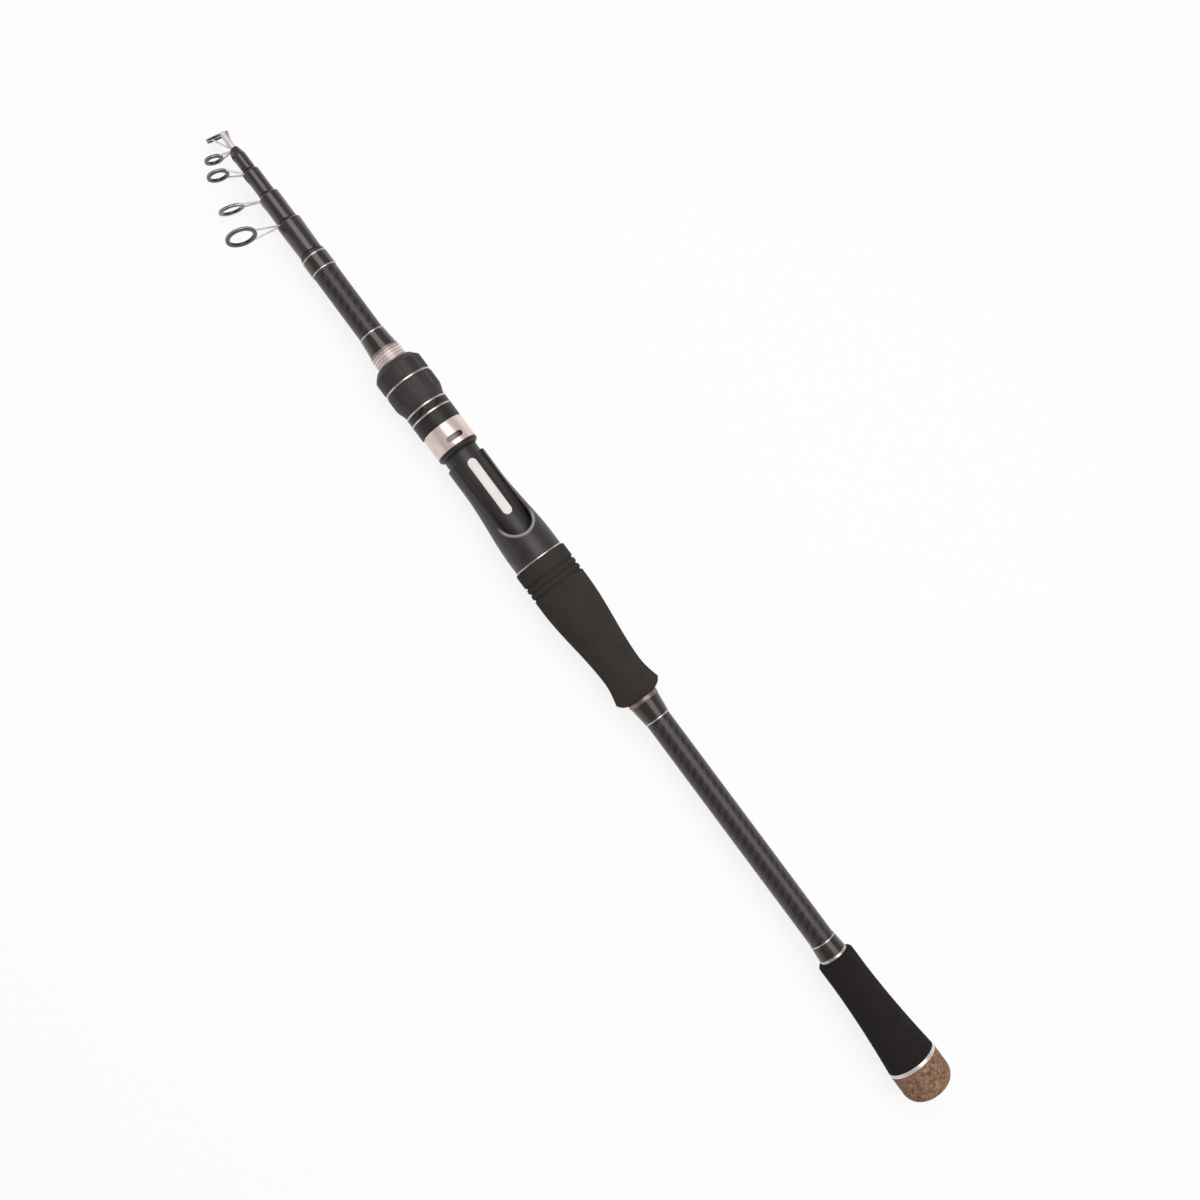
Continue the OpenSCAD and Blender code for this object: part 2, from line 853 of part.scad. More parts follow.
cork_cap();
cap_screw();
cap_pad();
butt_ring();
butt_ferrule();
rear_grip();
rear_check();
rear_whipping();
butt_blank();
blank_trim_rings();
grip_whipping();
grip_check();
main_grip();
seam_ring();
seat_body();
seat_barrel();
seat_arbors();
seat_inlay();
thread_sleeve();
hood_liner();
hood_shell();
nut_core();
nut_tail();
nut_band();
nut_band_rings();
nut_grip();
nut_front_ring();
nut_collar();
fore_whipping();
front_whipping();
second_section();
second_collar();
second_guide_frame();
second_guide_ring();
third_section();
third_collar();
third_guide_frame();
third_guide_ring();
fourth_section();
fourth_collar();
fourth_guide_frame();
fourth_guide_ring();
fifth_section();
fifth_collar();
fifth_guide_frame();
fifth_guide_ring();
tip_section();
tip_frame();
tip_ring();
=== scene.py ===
import json
import math

import bmesh
import bpy
from mathutils import Matrix, Vector, noise


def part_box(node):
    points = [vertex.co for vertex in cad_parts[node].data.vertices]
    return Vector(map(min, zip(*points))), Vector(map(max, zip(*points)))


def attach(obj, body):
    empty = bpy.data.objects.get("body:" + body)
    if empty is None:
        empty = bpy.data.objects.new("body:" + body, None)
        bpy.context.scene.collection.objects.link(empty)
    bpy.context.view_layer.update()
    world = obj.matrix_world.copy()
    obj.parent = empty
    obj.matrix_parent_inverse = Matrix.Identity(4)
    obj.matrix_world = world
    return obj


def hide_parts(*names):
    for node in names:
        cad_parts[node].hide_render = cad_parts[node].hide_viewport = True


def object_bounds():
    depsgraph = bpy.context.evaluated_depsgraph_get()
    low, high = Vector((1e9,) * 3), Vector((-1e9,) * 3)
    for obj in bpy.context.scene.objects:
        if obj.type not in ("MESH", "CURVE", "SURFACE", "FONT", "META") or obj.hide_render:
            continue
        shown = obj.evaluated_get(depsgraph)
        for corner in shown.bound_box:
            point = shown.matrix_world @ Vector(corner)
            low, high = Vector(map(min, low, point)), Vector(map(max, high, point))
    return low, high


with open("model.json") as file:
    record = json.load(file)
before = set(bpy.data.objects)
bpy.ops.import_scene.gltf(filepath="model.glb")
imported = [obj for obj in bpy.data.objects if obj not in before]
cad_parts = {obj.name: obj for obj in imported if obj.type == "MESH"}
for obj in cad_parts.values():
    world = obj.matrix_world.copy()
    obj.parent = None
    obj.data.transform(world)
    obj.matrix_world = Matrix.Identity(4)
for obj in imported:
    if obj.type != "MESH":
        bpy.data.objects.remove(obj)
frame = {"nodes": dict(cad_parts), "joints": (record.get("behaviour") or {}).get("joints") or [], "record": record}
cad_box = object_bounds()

# Camera over the rod, leaning a little to the side that the guides point to, with the tip at the
# upper left and the butt at the lower right of a square picture.
camera_height = 0.6006
picture_width = 0.528
film_width = 36
side_tilt = math.radians(14)
tip_bearing = math.radians(126.66)
rod_middle = Vector((0.26105, 0, 0))
shift_to_guides = -0.01078

scene = bpy.context.scene
scene.view_settings.view_transform = "Standard"
along = Vector((1, 0, 0))
upward = Vector((0, math.sin(side_tilt), math.cos(side_tilt)))
guide_side = Vector((0, math.cos(side_tilt), -math.sin(side_tilt)))
picture_right = math.cos(tip_bearing) * along - math.sin(tip_bearing) * guide_side
picture_top = math.sin(tip_bearing) * along + math.cos(tip_bearing) * guide_side
camera = bpy.data.objects.new("camera", bpy.data.cameras.new("camera"))
camera.data.sensor_width = film_width
camera.data.lens = film_width * camera_height / picture_width
stand = rod_middle + shift_to_guides * guide_side + camera_height * upward
axes = Matrix((picture_right, picture_top, upward)).transposed().to_4x4()
camera.matrix_world = Matrix.Translation(stand) @ axes
scene.collection.objects.link(camera)
scene.camera = camera

# Studio: a wide white floor under the rod with a low white wall round it, one softbox overhead that
# draws the long streak on every gloss surface, and a dim white room.
floor_r = 20
wall_height = 4.6
wall_sides = 64
floor_white = (0.95, 0.95, 0.95, 1)
floor_glow = 0.85
softbox_size = (1.8, 0.7)
softbox_place = (0.26, -0.17, 0.95)
softbox_turn = math.radians(16)
softbox_watts = 10.3
room_white = (1, 1, 1, 1)
room_strength = 0.3


def lay(tree, kind, wires=None, **settings):
    laid = tree.nodes.new(kind)
    for key, value in settings.items():
        setattr(laid, key, value)
    for key, value in (wires or {}).items():
        if isinstance(value, bpy.types.NodeSocket):
            tree.links.new(value, laid.inputs[key])
        else:
            laid.inputs[key].default_value = value
    return laid


def reckon(operation, *terms):
    tree = next(term.id_data for term in terms if isinstance(term, bpy.types.NodeSocket))
    return lay(tree, "ShaderNodeMath", dict(enumerate(terms)), operation=operation).outputs[0]


def times(first, second):
    return reckon("MULTIPLY", first, second)


def turns_round(count, shift=0.0):
    return [2 * math.pi * (i + shift) / count for i in range(count)]


def ring_rows(count, around):
    return [range(i * around, (i + 1) * around) for i in range(count)]


def quads(a, b):
    count = len(a)
    return [(a[i], a[(i + 1) % count], b[(i + 1) % count], b[i]) for i in range(count)]


floor_mesh = bpy.data.meshes.new("floor")
wall_plan = [(floor_r * math.cos(a), floor_r * math.sin(a)) for a in turns_round(wall_sides)]
floor_points = [(x, y, cad_box[0].z + rise) for rise in (0, wall_height) for x, y in wall_plan]
floor_rim, wall_rim = ring_rows(2, wall_sides)
floor_mesh.from_pydata(floor_points, [], [tuple(floor_rim)] + quads(floor_rim, wall_rim))
floor = bpy.data.objects.new("floor", floor_mesh)
scene.collection.objects.link(floor)
floor_paint = bpy.data.materials.new("floor_white")
floor_paint.use_nodes = True
tree = floor_paint.node_tree
tree.nodes.clear()
light_path = lay(tree, "ShaderNodeLightPath").outputs
seen = light_path["Is Camera Ray"]
for ray in ("Is Glossy Ray", "Is Transmission Ray"):
    seen = reckon("MAXIMUM", seen, light_path[ray])
paper = lay(tree, "ShaderNodeBsdfDiffuse", {"Color": floor_white}).outputs[0]
glow = lay(tree, "ShaderNodeEmission", {"Color": room_white, "Strength": 1.0}).outputs[0]
glow_share = times(seen, floor_glow)
lit = lay(tree, "ShaderNodeMixShader", {0: glow_share, 1: paper, 2: glow}).outputs[0]
lay(tree, "ShaderNodeOutputMaterial", {"Surface": lit})
floor_mesh.materials.append(floor_paint)

softbox = bpy.data.objects.new("softbox", bpy.data.lights.new("softbox", "AREA"))
softbox.data.shape = "RECTANGLE"
softbox.data.size, softbox.data.size_y = softbox_size
softbox.data.energy = softbox_watts
softbox.location = softbox_place
softbox.rotation_euler.z = softbox_turn
scene.collection.objects.link(softbox)

room = bpy.data.worlds.new("room")
room.use_nodes = True
room.node_tree.nodes["Background"].inputs["Color"].default_value = room_white
room.node_tree.nodes["Background"].inputs["Strength"].default_value = room_strength
scene.world = room

# Butt cap: ground cork pressed with glue into a short plug and turned round at the end. It is glued
# to the head of a screw, which carries a rubber pad that keeps the closed sections from rattling.
cap_round = 7.2
cap_chamfer = 0.6
cap_stem = (7.3, 7.5)
cork_dark = (102, 73, 57)
cork_light = (197, 154, 126)
cork_gap = (72, 48, 38)
granule = 0.0013
cork_dust = 0.00055
cork_warp = 0.0022
cork_relief = 0.06
cork_lumps = ((0.8, 1.0), (1.9, 0.6))
cork_smooth_r = 7.6
pit_scale = 1.1
pit_shift = Vector((7, 3, 5))
pit_from = 0.35
pit_depth = 0.35
cap_thread_ends = (18.1, 30.1)
screw_r = 6.15
cap_pitch = 1.5
cap_thread_depth = 0.45
screw_grey = (58, 56, 56)
pad_black = (30, 29, 29)

body_of_node = {n: b for b, ns in frame["record"]["behaviour"]["bodies"].items() for n in ns}


def colour(tint):
    linear = [(v / 255 / 12.92 if v <= 10 else ((v / 255 + 0.055) / 1.055) ** 2.4) for v in tint]
    return (*linear, 1)


def shaded(tint, share):
    return tuple(v * share for v in tint)


def blended(share, first, second):
    ends = [colour(tint) if isinstance(tint, tuple) else tint for tint in (first, second)]
    wires = {0: share, 6: ends[0], 7: ends[1]}
    return lay(share.id_data, "ShaderNodeMix", wires, data_type="RGBA").outputs[2]


def spread(value, low, high, to_low=0.0, to_high=1.0):
    wires = {0: value, 1: low, 2: high, 3: to_low, 4: to_high}
    return lay(value.id_data, "ShaderNodeMapRange", wires).outputs[0]


def weighed(*pairs):
    total = times(*pairs[0])
    for value, weight in pairs[1:]:
        total = reckon("MULTIPLY_ADD", value, weight, total)
    return total


def effect(name, inputs, outputs):
    group = bpy.data.node_groups.new(name, "ShaderNodeTree")
    for label, default in inputs.items():
        socket = group.interface.new_socket(label, in_out="INPUT", socket_type="NodeSocketFloat")
        socket.default_value = default
    for label in outputs:
        group.interface.new_socket(label, in_out="OUTPUT", socket_type="NodeSocketFloat")
    entry = group.nodes.new("NodeGroupInput").outputs
    leave = group.nodes.new("NodeGroupOutput").inputs
    return group, entry, leave


def apply_effect(tree, group, values=None):
    laid = lay(tree, "ShaderNodeGroup", None, node_tree=group)
    for label, value in (values or {}).items():
        laid.inputs[label].default_value = value
    return laid.outputs


def finish(name, sockets):
    material = bpy.data.materials.new(name)
    material.use_nodes = True
    shader = material.node_tree.nodes["Principled BSDF"]
    for label, value in sockets.items():
        shader.inputs[label].default_value = value
    return material, material.node_tree, shader


def wire_up(shader, **values):
    for label, value in values.items():
        shader.id_data.links.new(value, shader.inputs[label.replace("_", " ")])


def relief(height, depth, strength, under=None):
    wires = {"Height": height, "Distance": depth, "Strength": strength}
    if under is not None:
        wires["Normal"] = under
    return lay(height.id_data, "ShaderNodeBump", wires).outputs["Normal"]


def at_rest(tree):
    return lay(tree, "ShaderNodeTexCoord").outputs["Object"]


def mottled(place, scale, detail, roughness=0.5):
    wires = {"Vector": place, "Scale": scale, "Detail": detail, "Roughness": roughness}
    return lay(place.id_data, "ShaderNodeTexNoise", wires).outputs


def celled(place, scale, **settings):
    wires = {"Vector": place, "Scale": scale}
    return lay(place.id_data, "ShaderNodeTexVoronoi", wires, **settings).outputs


def span(node):
    low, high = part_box(node)
    return low.x * 1000, high.x * 1000


def girth(node):
    low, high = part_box(node)
    return max(high.z, -low.z) * 1000


def held(value):
    return min(1, max(0, value))


def arc(x, r, radius, start, end, steps):
    turns = [math.radians(start + (end - start) * i / steps) for i in range(steps + 1)]
    return [(x + radius * math.cos(a), r + radius * math.sin(a)) for a in turns]


def dense(outline, step):
    filled = []
    for (x0, r0), (x1, r1) in zip(outline, outline[1:]):
        parts = max(1, round(math.hypot(x1 - x0, r1 - r0) / step))
        filled += [(x0 + (x1 - x0) * i / parts, r0 + (r1 - r0) * i / parts) for i in range(parts)]
    return filled + [outline[-1]]


def new_piece(name, points, faces, sharp=40, weld=False):
    mesh = bpy.data.meshes.new(name)
    mesh.from_pydata([tuple(v * 0.001 for v in p) for p in points], [], faces)
    shell = bmesh.new()
    shell.from_mesh(mesh)
    if weld:
        bmesh.ops.remove_doubles(shell, verts=shell.verts, dist=1e-6)
        rims = [e for e in shell.edges if e.is_boundary]
        if rims:
            bmesh.ops.bridge_loops(shell, edges=rims)
    bmesh.ops.recalc_face_normals(shell, faces=shell.faces)
    shell.to_mesh(mesh)
    shell.free()
    mesh.shade_smooth()
    mesh.set_sharp_from_angle(angle=math.radians(sharp))
    piece = bpy.data.objects.new(name, mesh)
    scene.collection.objects.link(piece)
    return piece


def turned(name, outline, carve=None, turns=144, ring=True, sharp=40, weld=False):
    points, rows = [], []
    for x, r in outline:
        if not callable(r) and r < 1e-6:
            rows.append([len(points)])
            points.append((x, 0, 0))
            continue
        rows.append(list(range(len(points), len(points) + turns)))
        for angle in turns_round(turns):
            reach = r(angle) if callable(r) else r
            if carve:
                reach = carve(x, reach, angle)
            points.append((x, reach * math.sin(angle), reach * math.cos(angle)))
    faces = []
    for a, b in zip(rows, rows[1:] + ([rows[0]] if ring else [])):
        for i in range(turns):
            j = (i + 1) % turns
            corners = dict.fromkeys((a[i % len(a)], b[i % len(b)], b[j % len(b)], a[j % len(a)]))
            if len(corners) > 2:
                faces.append(tuple(corners))
    return new_piece(name, points, faces, sharp, weld)


def stand_for(piece, material, *nodes):
    piece.data.materials.clear()
    piece.data.materials.append(material)
    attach(piece, body_of_node[nodes[0]])
    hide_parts(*nodes)
    return piece


def paint(node, material):
    for place in frame["nodes"][node].material_slots:
        place.material = material


def thread_groove(start, stop, pitch, depth, fade=1.0):
    def carve(x, r, angle):
        turn = (x / pitch + angle / (2 * math.pi)) % 1
        ridge = held(1.35 - abs(turn - 0.5) * 3.6)
        ends = min(held((x - start) / fade), held((stop - x) / fade))
        return r - depth * (1 - ridge) * ends
    return carve


def only_at(radius, carve):
    return lambda x, r, angle: carve(x, r, angle) if r == radius else r


cap_low, cap_high = span("cork_cap")
cap_r = girth("cork_cap")
flat_r = cap_r - cap_round
cap_side = [(cap_low, 0), (cap_low, flat_r)] + arc(cap_low + cap_round, flat_r, cap_round, 180, 90, 14)[1:]
cap_side += [(cap_high - cap_chamfer, cap_r), (cap_high, cap_r - cap_chamfer)]
cap_inside = [(cap_high, cap_stem[1]), (cap_stem[0], cap_stem[1]), (cap_stem[0], 0)]


def crumbled(x, r, angle):
    if r < cork_smooth_r:
        return r
    place = Vector((x, r * math.sin(angle), r * math.cos(angle)))
    lumps = sum(weight * noise.noise(place * scale) for scale, weight in cork_lumps)
    pits = max(0, noise.noise(place * pit_scale + pit_shift) - pit_from)
    return r + cork_relief * (lumps - 1) - pit_depth * pits


cork, tree, shader = finish("pressed_cork", {"Roughness": 0.9, "IOR": 1.35})
place = at_rest(tree)
wobble = mottled(place, 1100.0, 5.0, 0.65)["Color"]
bent = lay(tree, "ShaderNodeVectorMath", {0: wobble, 1: (cork_warp,) * 3}, operation="MULTIPLY").outputs[0]
place = lay(tree, "ShaderNodeVectorMath", {0: place, 1: bent}, operation="ADD").outputs[0]
edges = celled(place, 1 / granule, feature="DISTANCE_TO_EDGE")["Distance"]
tone, dust_tone = (
    lay(tree, "ShaderNodeSeparateColor", {0: celled(place, 1 / size)["Color"]}).outputs
    for size in (granule, cork_dust))
fine = mottled(place, 2600.0, 4.0)[0]
mixed = weighed((tone[0], 0.5), (fine, 0.45), (dust_tone[0], 0.2))
cork_shade = blended(mixed, cork_dark, cork_light)
broken = spread(fine, 0.42, 0.62, 0.1, 0.7)
seam_mask = times(spread(edges, 0.0, 0.12, 1.0, 0.0), broken)
dark_crumb = spread(tone[1], 0.84, 0.9, 0.0, 0.55)
speck = reckon("MAXIMUM", dark_crumb, spread(dust_tone[1], 0.84, 0.9, 0.0, 0.6))
cork_shade = blended(reckon("MAXIMUM", seam_mask, speck), cork_shade, cork_gap)
rise = reckon("MULTIPLY_ADD", fine, 0.7, spread(edges, 0.0, 0.2))
wire_up(shader, Base_Color=cork_shade, Normal=relief(rise, 0.00018, 0.9))
cap = turned("cork_cap_plug", dense(cap_side, 0.4) + cap_inside, crumbled, turns=192, ring=False)
stand_for(cap, cork, "cork_cap")

grain_effect, entry, leave = effect("fine grain", {"Size mm": 0.3}, ["Grain", "Cloud"])
inside = grain_effect
grain_scale = reckon("DIVIDE", 1000.0, entry["Size mm"])
for label, scale in (("Grain", grain_scale), ("Cloud", 140.0)):
    speckle = mottled(at_rest(inside), scale, 3.0)[0]
    inside.links.new(spread(speckle, 0.3, 0.7), leave[label])


def moulded(name, tint, roughness, grain_mm, depth, sheen=1.45, contrast=0.12):
    material, tree, shader = finish(name, {"IOR": sheen})
    grain = apply_effect(tree, grain_effect, {"Size mm": grain_mm})
    pale = tuple(min(255, v * (1 + contrast) + 3) for v in tint)
    share = weighed((grain["Grain"], 0.6), (grain["Cloud"], 0.4))
    wire_up(
        shader, Base_Color=blended(share, shaded(tint, 1 - contrast), pale),
        Roughness=spread(grain["Cloud"], 0, 1, roughness - 0.06, roughness + 0.06),
        Normal=relief(grain["Grain"], depth, 0.6))
    return material


screw_plastic = moulded("screw_plastic", screw_grey, 0.45, 0.4, 0.00002)
pad_rubber = moulded("pad_rubber", pad_black, 0.85, 0.5, 0.00006, 1.4)
screw_low, screw_high = span("cap_screw")
head = [(screw_low, 0), (screw_low, cap_stem[1]), (cap_high, cap_stem[1]), (cap_high, screw_r)]
shank = dense([(cap_high, screw_r), (screw_high, screw_r)], 0.15)[1:]
cut_thread = thread_groove(*cap_thread_ends, cap_pitch, cap_thread_depth)
screw_side = head + shank + [(screw_high, 0)]
screw = turned("cap_screw_thread", screw_side, only_at(screw_r, cut_thread), turns=96, ring=False)
stand_for(screw, screw_plastic, "cap_screw")
paint("cap_pad", pad_rubber)

# Butt ring: a turned and polished aluminium ring that sits loose on the cap's screw, between the
# cork and the rear grip. The ferrule glued in the rear grip takes the screw.
trim_warm = (212, 204, 200)
trim_dim = (174, 165, 161)
butt_bright = (236, 228, 224)
butt_dim = (206, 197, 193)
ferrule_tint = (206, 200, 198)
butt_ring_bore = 6.2
butt_ring_soft = 0.3

place_effect, entry, leave = effect("rod place", {}, ["Along mm", "Aside mm", "Up mm", "Around"])
inside = place_effect
apart = lay(inside, "ShaderNodeSeparateXYZ", {0: at_rest(inside)}).outputs
for axis, label in zip("XYZ", ("Along mm", "Aside mm", "Up mm")):
    inside.links.new(times(apart[axis], 1000.0), leave[label])
turn_out = reckon("ARCTAN2", apart["Y"], apart["Z"])
inside.links.new(reckon("DIVIDE", turn_out, 2 * math.pi), leave["Around"])

hairline_effect, entry, leave = effect(
    "lathe hairlines", {"Line mm": 0.12, "Reach": 6.0}, ["Lines", "Smudge"])
inside = hairline_effect
where = apply_effect(inside, place_effect)
turn_at = times(where["Around"], 2 * math.pi)
lines_at = {0: reckon("DIVIDE", where["Along mm"], entry["Line mm"])}
for axis, wave in ((1, "SINE"), (2, "COSINE")):
    lines_at[axis] = times(reckon(wave, turn_at), entry["Reach"])
lines = mottled(lay(inside, "ShaderNodeCombineXYZ", lines_at).outputs[0], 1.0, 2.0)[0]
patch = mottled(at_rest(inside), 220.0, 4.0)[0]
inside.links.new(spread(lines, 0.3, 0.7), leave["Lines"])
inside.links.new(spread(patch, 0.35, 0.7), leave["Smudge"])


def turned_metal(name, bright, dim, roughness, line_mm=0.12, depth=0.000008, reach=1.2, metal=0.85):
    material, tree, shader = finish(name, {"Metallic": metal})
    brushed = apply_effect(tree, hairline_effect, {"Line mm": line_mm, "Reach": reach})
    share = weighed((brushed["Lines"], 0.55), (brushed["Smudge"], 0.3))
    wire_up(
        shader, Base_Color=blended(share, bright, dim),
        Roughness=spread(share, 0, 1, roughness - 0.06, roughness + 0.12),
        Normal=relief(brushed["Lines"], depth, 0.5))
    return material


bright_trim = turned_metal("polished_trim", trim_warm, trim_dim, 0.27, metal=0.78)
ferrule_metal = turned_metal("ferrule_metal", ferrule_tint, trim_dim, 0.32)
butt_metal = turned_metal("butt_ring_metal", butt_bright, butt_dim, 0.3, metal=0.5)


def eased(outline, radius, steps=4, ring=True):
    soft = []
    count = len(outline)
    for i, here in enumerate(outline):
        if not ring and i in (0, count - 1):
            soft.append(here)
            continue
        here = Vector(here)
        back = Vector(outline[i - 1]) - here
        ahead = Vector(outline[(i + 1) % count]) - here
        if min(back.length, ahead.length) < 1e-6 or back.angle(ahead) > math.radians(160):
            soft.append(tuple(here))
            continue
        cut = min(radius, back.length * 0.45, ahead.length * 0.45)
        start = here + back.normalized() * cut
        stop = here + ahead.normalized() * cut
        for k in range(steps + 1):
            t = k / steps
            soft.append(tuple((1 - t) ** 2 * start + 2 * t * (1 - t) * here + t * t * stop))
    return soft


def bush(name, low, high, inner, outer, soft, turns=144):
    side = [(low, inner), (high, inner), (high, outer), (low, outer)]
    return turned(name, eased(side, soft), turns=turns)


def ring_for(node, name, inner, soft, material):
    stand_for(bush(name, *span(node), inner, girth(node), soft), material, node)


ring_for("butt_ring", "butt_ring_turned", butt_ring_bore, butt_ring_soft, butt_metal)
paint("butt_ferrule", ferrule_metal)

# Rear grip: closed-cell foam bored to slide over the ferrule and the blank, glued there and ground
# to a flare at the butt. A bright check ring and a lacquered whipping finish its front edge.
blank_r = 5.83
ferrule_r = 7.4
ferrule_end = 45.1
rear_slim_r = 8.8
rear_butt_r = 11.7
rear_fall = 45
rear_power = 1.7
rear_round = 1.6
rear_edge = 0.25
rear_edge_drop = 0.03
rear_foam_tint = (38, 34, 33)
foam_pore = 0.22
check_soft = 0.4
whip_black = (33, 24, 23)
whip_brown = (52, 40, 38)
whip_thread = 0.22
whip_soft = 0.35
rear_whip_r = (6.75, 6.1)


def foam_finish(name, tint):
    material, tree, shader = finish(name, {"Roughness": 0.95, "IOR": 1.25})
    cells = apply_effect(tree, grain_effect, {"Size mm": foam_pore})
    pores = celled(at_rest(tree), 2200.0)["Distance"]
    share = weighed((cells["Grain"], 0.5), (cells["Cloud"], 0.35))
    skin = blended(share, shaded(tint, 0.86), shaded(tint, 1.16))
    skin = blended(spread(pores, 0.0, 0.22, 0.35, 0.0), skin, shaded(tint, 0.6))
    under = relief(spread(pores, 0.1, 0.45), 0.00008, 0.6)
    wire_up(shader, Base_Color=skin, Normal=relief(cells["Grain"], 0.00006, 0.6, under))
    return material


def lacquered(name, dark, brown, thread_mm, gloss=0.07, coat=1.0):
    material, tree, shader = finish(name, {
        "Roughness": 0.35, "IOR": 1.35, "Coat Weight": coat, "Coat Roughness": gloss, "Coat IOR": 1.48})
    where = apply_effect(tree, place_effect)
    wound = reckon("SINE", times(where["Along mm"], 2 * math.pi / thread_mm))
    wound = spread(wound, -1, 1)
    grain = apply_effect(tree, grain_effect, {"Size mm": 0.8})
    share = weighed((wound, 0.5), (grain["Cloud"], 0.5))
    wire_up(
        shader, Base_Color=blended(share, dark, brown),
        Normal=relief(wound, 0.00003, 0.6))
    return material


def sweep(x0, x1, r0, r1, steps, ease, first=1):
    shares = [i / steps for i in range(first, steps + 1)]
    return [(x0 + (x1 - x0) * u, r0 + (r1 - r0) * ease(u)) for u in shares]


rear_foam = foam_finish("rear_grip_foam", rear_foam_tint)
worn_lacquer = lacquered("worn_lacquer", whip_black, whip_brown, whip_thread, 0.1, 0.7)
rear_low, rear_high = span("rear_grip")
rear_side = sweep(
    rear_low, rear_low + rear_fall, rear_slim_r, rear_butt_r, 40, lambda u: (1 - u) ** rear_power, 0)
rear_side[0] = (rear_low, rear_butt_r - rear_edge)
rear_side.insert(1, (rear_low + rear_edge, rear_butt_r - rear_edge_drop))
rear_side += arc(rear_high - rear_round, rear_slim_r - rear_round, rear_round, 90, 0, 12)
rear_bore = [(rear_high, blank_r), (ferrule_end, blank_r), (ferrule_end, ferrule_r), (rear_low, ferrule_r)]
rear_grip = turned("rear_grip_foam", rear_bore[-1:] + rear_side + rear_bore[:-1], turns=160)
stand_for(rear_grip, rear_foam, "rear_grip")
ring_for("rear_check", "rear_check_ring", blank_r, check_soft, bright_trim)


def whipping(node, radii, skin):
    low, high = span(node)
    side = eased([(low, blank_r), (high, blank_r), (high, radii[1]), (low, radii[0])], whip_soft, 6)
    stand_for(turned(node + "_lacquered", side, sharp=60), skin, node)


whipping("rear_whipping", rear_whip_r, worn_lacquer)

# Butt blank: a tube rolled from woven carbon cloth on a steel rod, baked, ground and clear-coated.
# Narrow bright rings are inlaid in the lacquer at the ends of its whippings.
blank_bore = 4.93
blank_rear_bore = 5.04
blank_taper_len = 120
blank_soft = 0.15
blank_tow = 1.15
blank_tows_round = 32
blank_coat = 0.4
coat_gloss = 0.16
# Weave colours: the pale end is painted sheen, used on warp tows and tow crowns.
carbon_deep = (26, 16, 16)
carbon_sheen_pale = (62, 46, 46)
trim_width = 0.7
trim_sink = 0.1
trim_soft = 0.22
grip_whip_r = (6.1, 7.15)
fore_whip_r = (6.9, 6.1)
front_whip_r = (6.2, 6.2)

weave_effect, entry, leave = effect(
    "carbon weave", {"Tow mm": blank_tow, "Tows round": blank_tows_round}, ["Crown", "Warp", "Fibre"])
inside = weave_effect
where = apply_effect(inside, place_effect)
warp_at = reckon("DIVIDE", where["Along mm"], entry["Tow mm"])
weft_at = times(where["Around"], entry["Tows round"])
step_sum = reckon("ADD", reckon("FLOOR", warp_at), reckon("FLOOR", weft_at))
warp_up = reckon("LESS_THAN", reckon("FLOORED_MODULO", step_sum, 4.0), 1.5)
warp_down = reckon("SUBTRACT", 1.0, warp_up)


def crown(turn):
    off = reckon("MULTIPLY_ADD", reckon("FRACT", turn), 2.0, -1.0)
    return reckon("SUBTRACT", 1.0, times(off, off))


def strands(turn):
    return reckon("SINE", times(turn, 2 * math.pi * 5))


for label, shape in (("Crown", crown), ("Fibre", strands)):
    cloth = weighed((shape(weft_at), warp_up), (shape(warp_at), warp_down))
    inside.links.new(cloth, leave[label])
inside.links.new(warp_up, leave["Warp"])


def woven(name, tow_mm, tows, coat, gloss, sheen=1.45):
    material, tree, shader = finish(name, {
        "Roughness": 0.4, "IOR": sheen, "Coat Weight": coat, "Coat Roughness": gloss, "Coat IOR": 1.45})
    cloth = apply_effect(tree, weave_effect, {"Tow mm": tow_mm, "Tows round": tows})
    # Partly painted sheen: the weave pattern is real, but warp tows are painted lighter than weft and each tow
    # lighter along its crown, standing in for how the clear-coated cloth catches the light.
    share = weighed((cloth["Warp"], 0.35), (cloth["Crown"], 0.35), (cloth["Fibre"], 0.06))
    height = weighed((cloth["Crown"], 1.0), (cloth["Fibre"], 0.08))
    wire_up(
        shader, Base_Color=blended(share, carbon_deep, carbon_sheen_pale),
        Normal=relief(height, 0.00012, 0.7))
    return material


carbon = woven("woven_carbon", blank_tow, blank_tows_round, blank_coat, coat_gloss)
blank_low, blank_high = span("butt_blank")
blank_side = [(blank_low, blank_rear_bore), (blank_high - blank_taper_len, blank_rear_bore)]
blank_side += [(blank_high, blank_bore), (blank_high, blank_r), (blank_low, blank_r)]
stand_for(turned("butt_blank_tube", eased(blank_side, blank_soft)), carbon, "butt_blank")


def gathered(name, pieces):
    whole = bmesh.new()
    for piece in pieces:
        whole.from_mesh(piece.data)
        mesh = piece.data
        bpy.data.objects.remove(piece)
        bpy.data.meshes.remove(mesh)
    mesh = bpy.data.meshes.new(name)
    whole.to_mesh(mesh)
    whole.free()
    piece = bpy.data.objects.new(name, mesh)
    scene.collection.objects.link(piece)
    return piece


front_low, front_high = span("front_whipping")
trim_places = [
    span("rear_whipping")[1], span("grip_whipping")[0] - trim_width, span("fore_whipping")[1],
    front_low - trim_width, front_high]
trim_r = girth("blank_trim_rings")
trims = [bush("trim", x, x + trim_width, blank_r - trim_sink, trim_r, trim_soft) for x in trim_places]
stand_for(gathered("blank_trim_rings_inlaid", trims), bright_trim, "blank_trim_rings")
fore_lacquer = lacquered("fore_lacquer", whip_black, whip_brown, whip_thread)
whipping("grip_whipping", grip_whip_r, worn_lacquer)
whipping("fore_whipping", fore_whip_r, fore_lacquer)
whipping("front_whipping", front_whip_r, fore_lacquer)

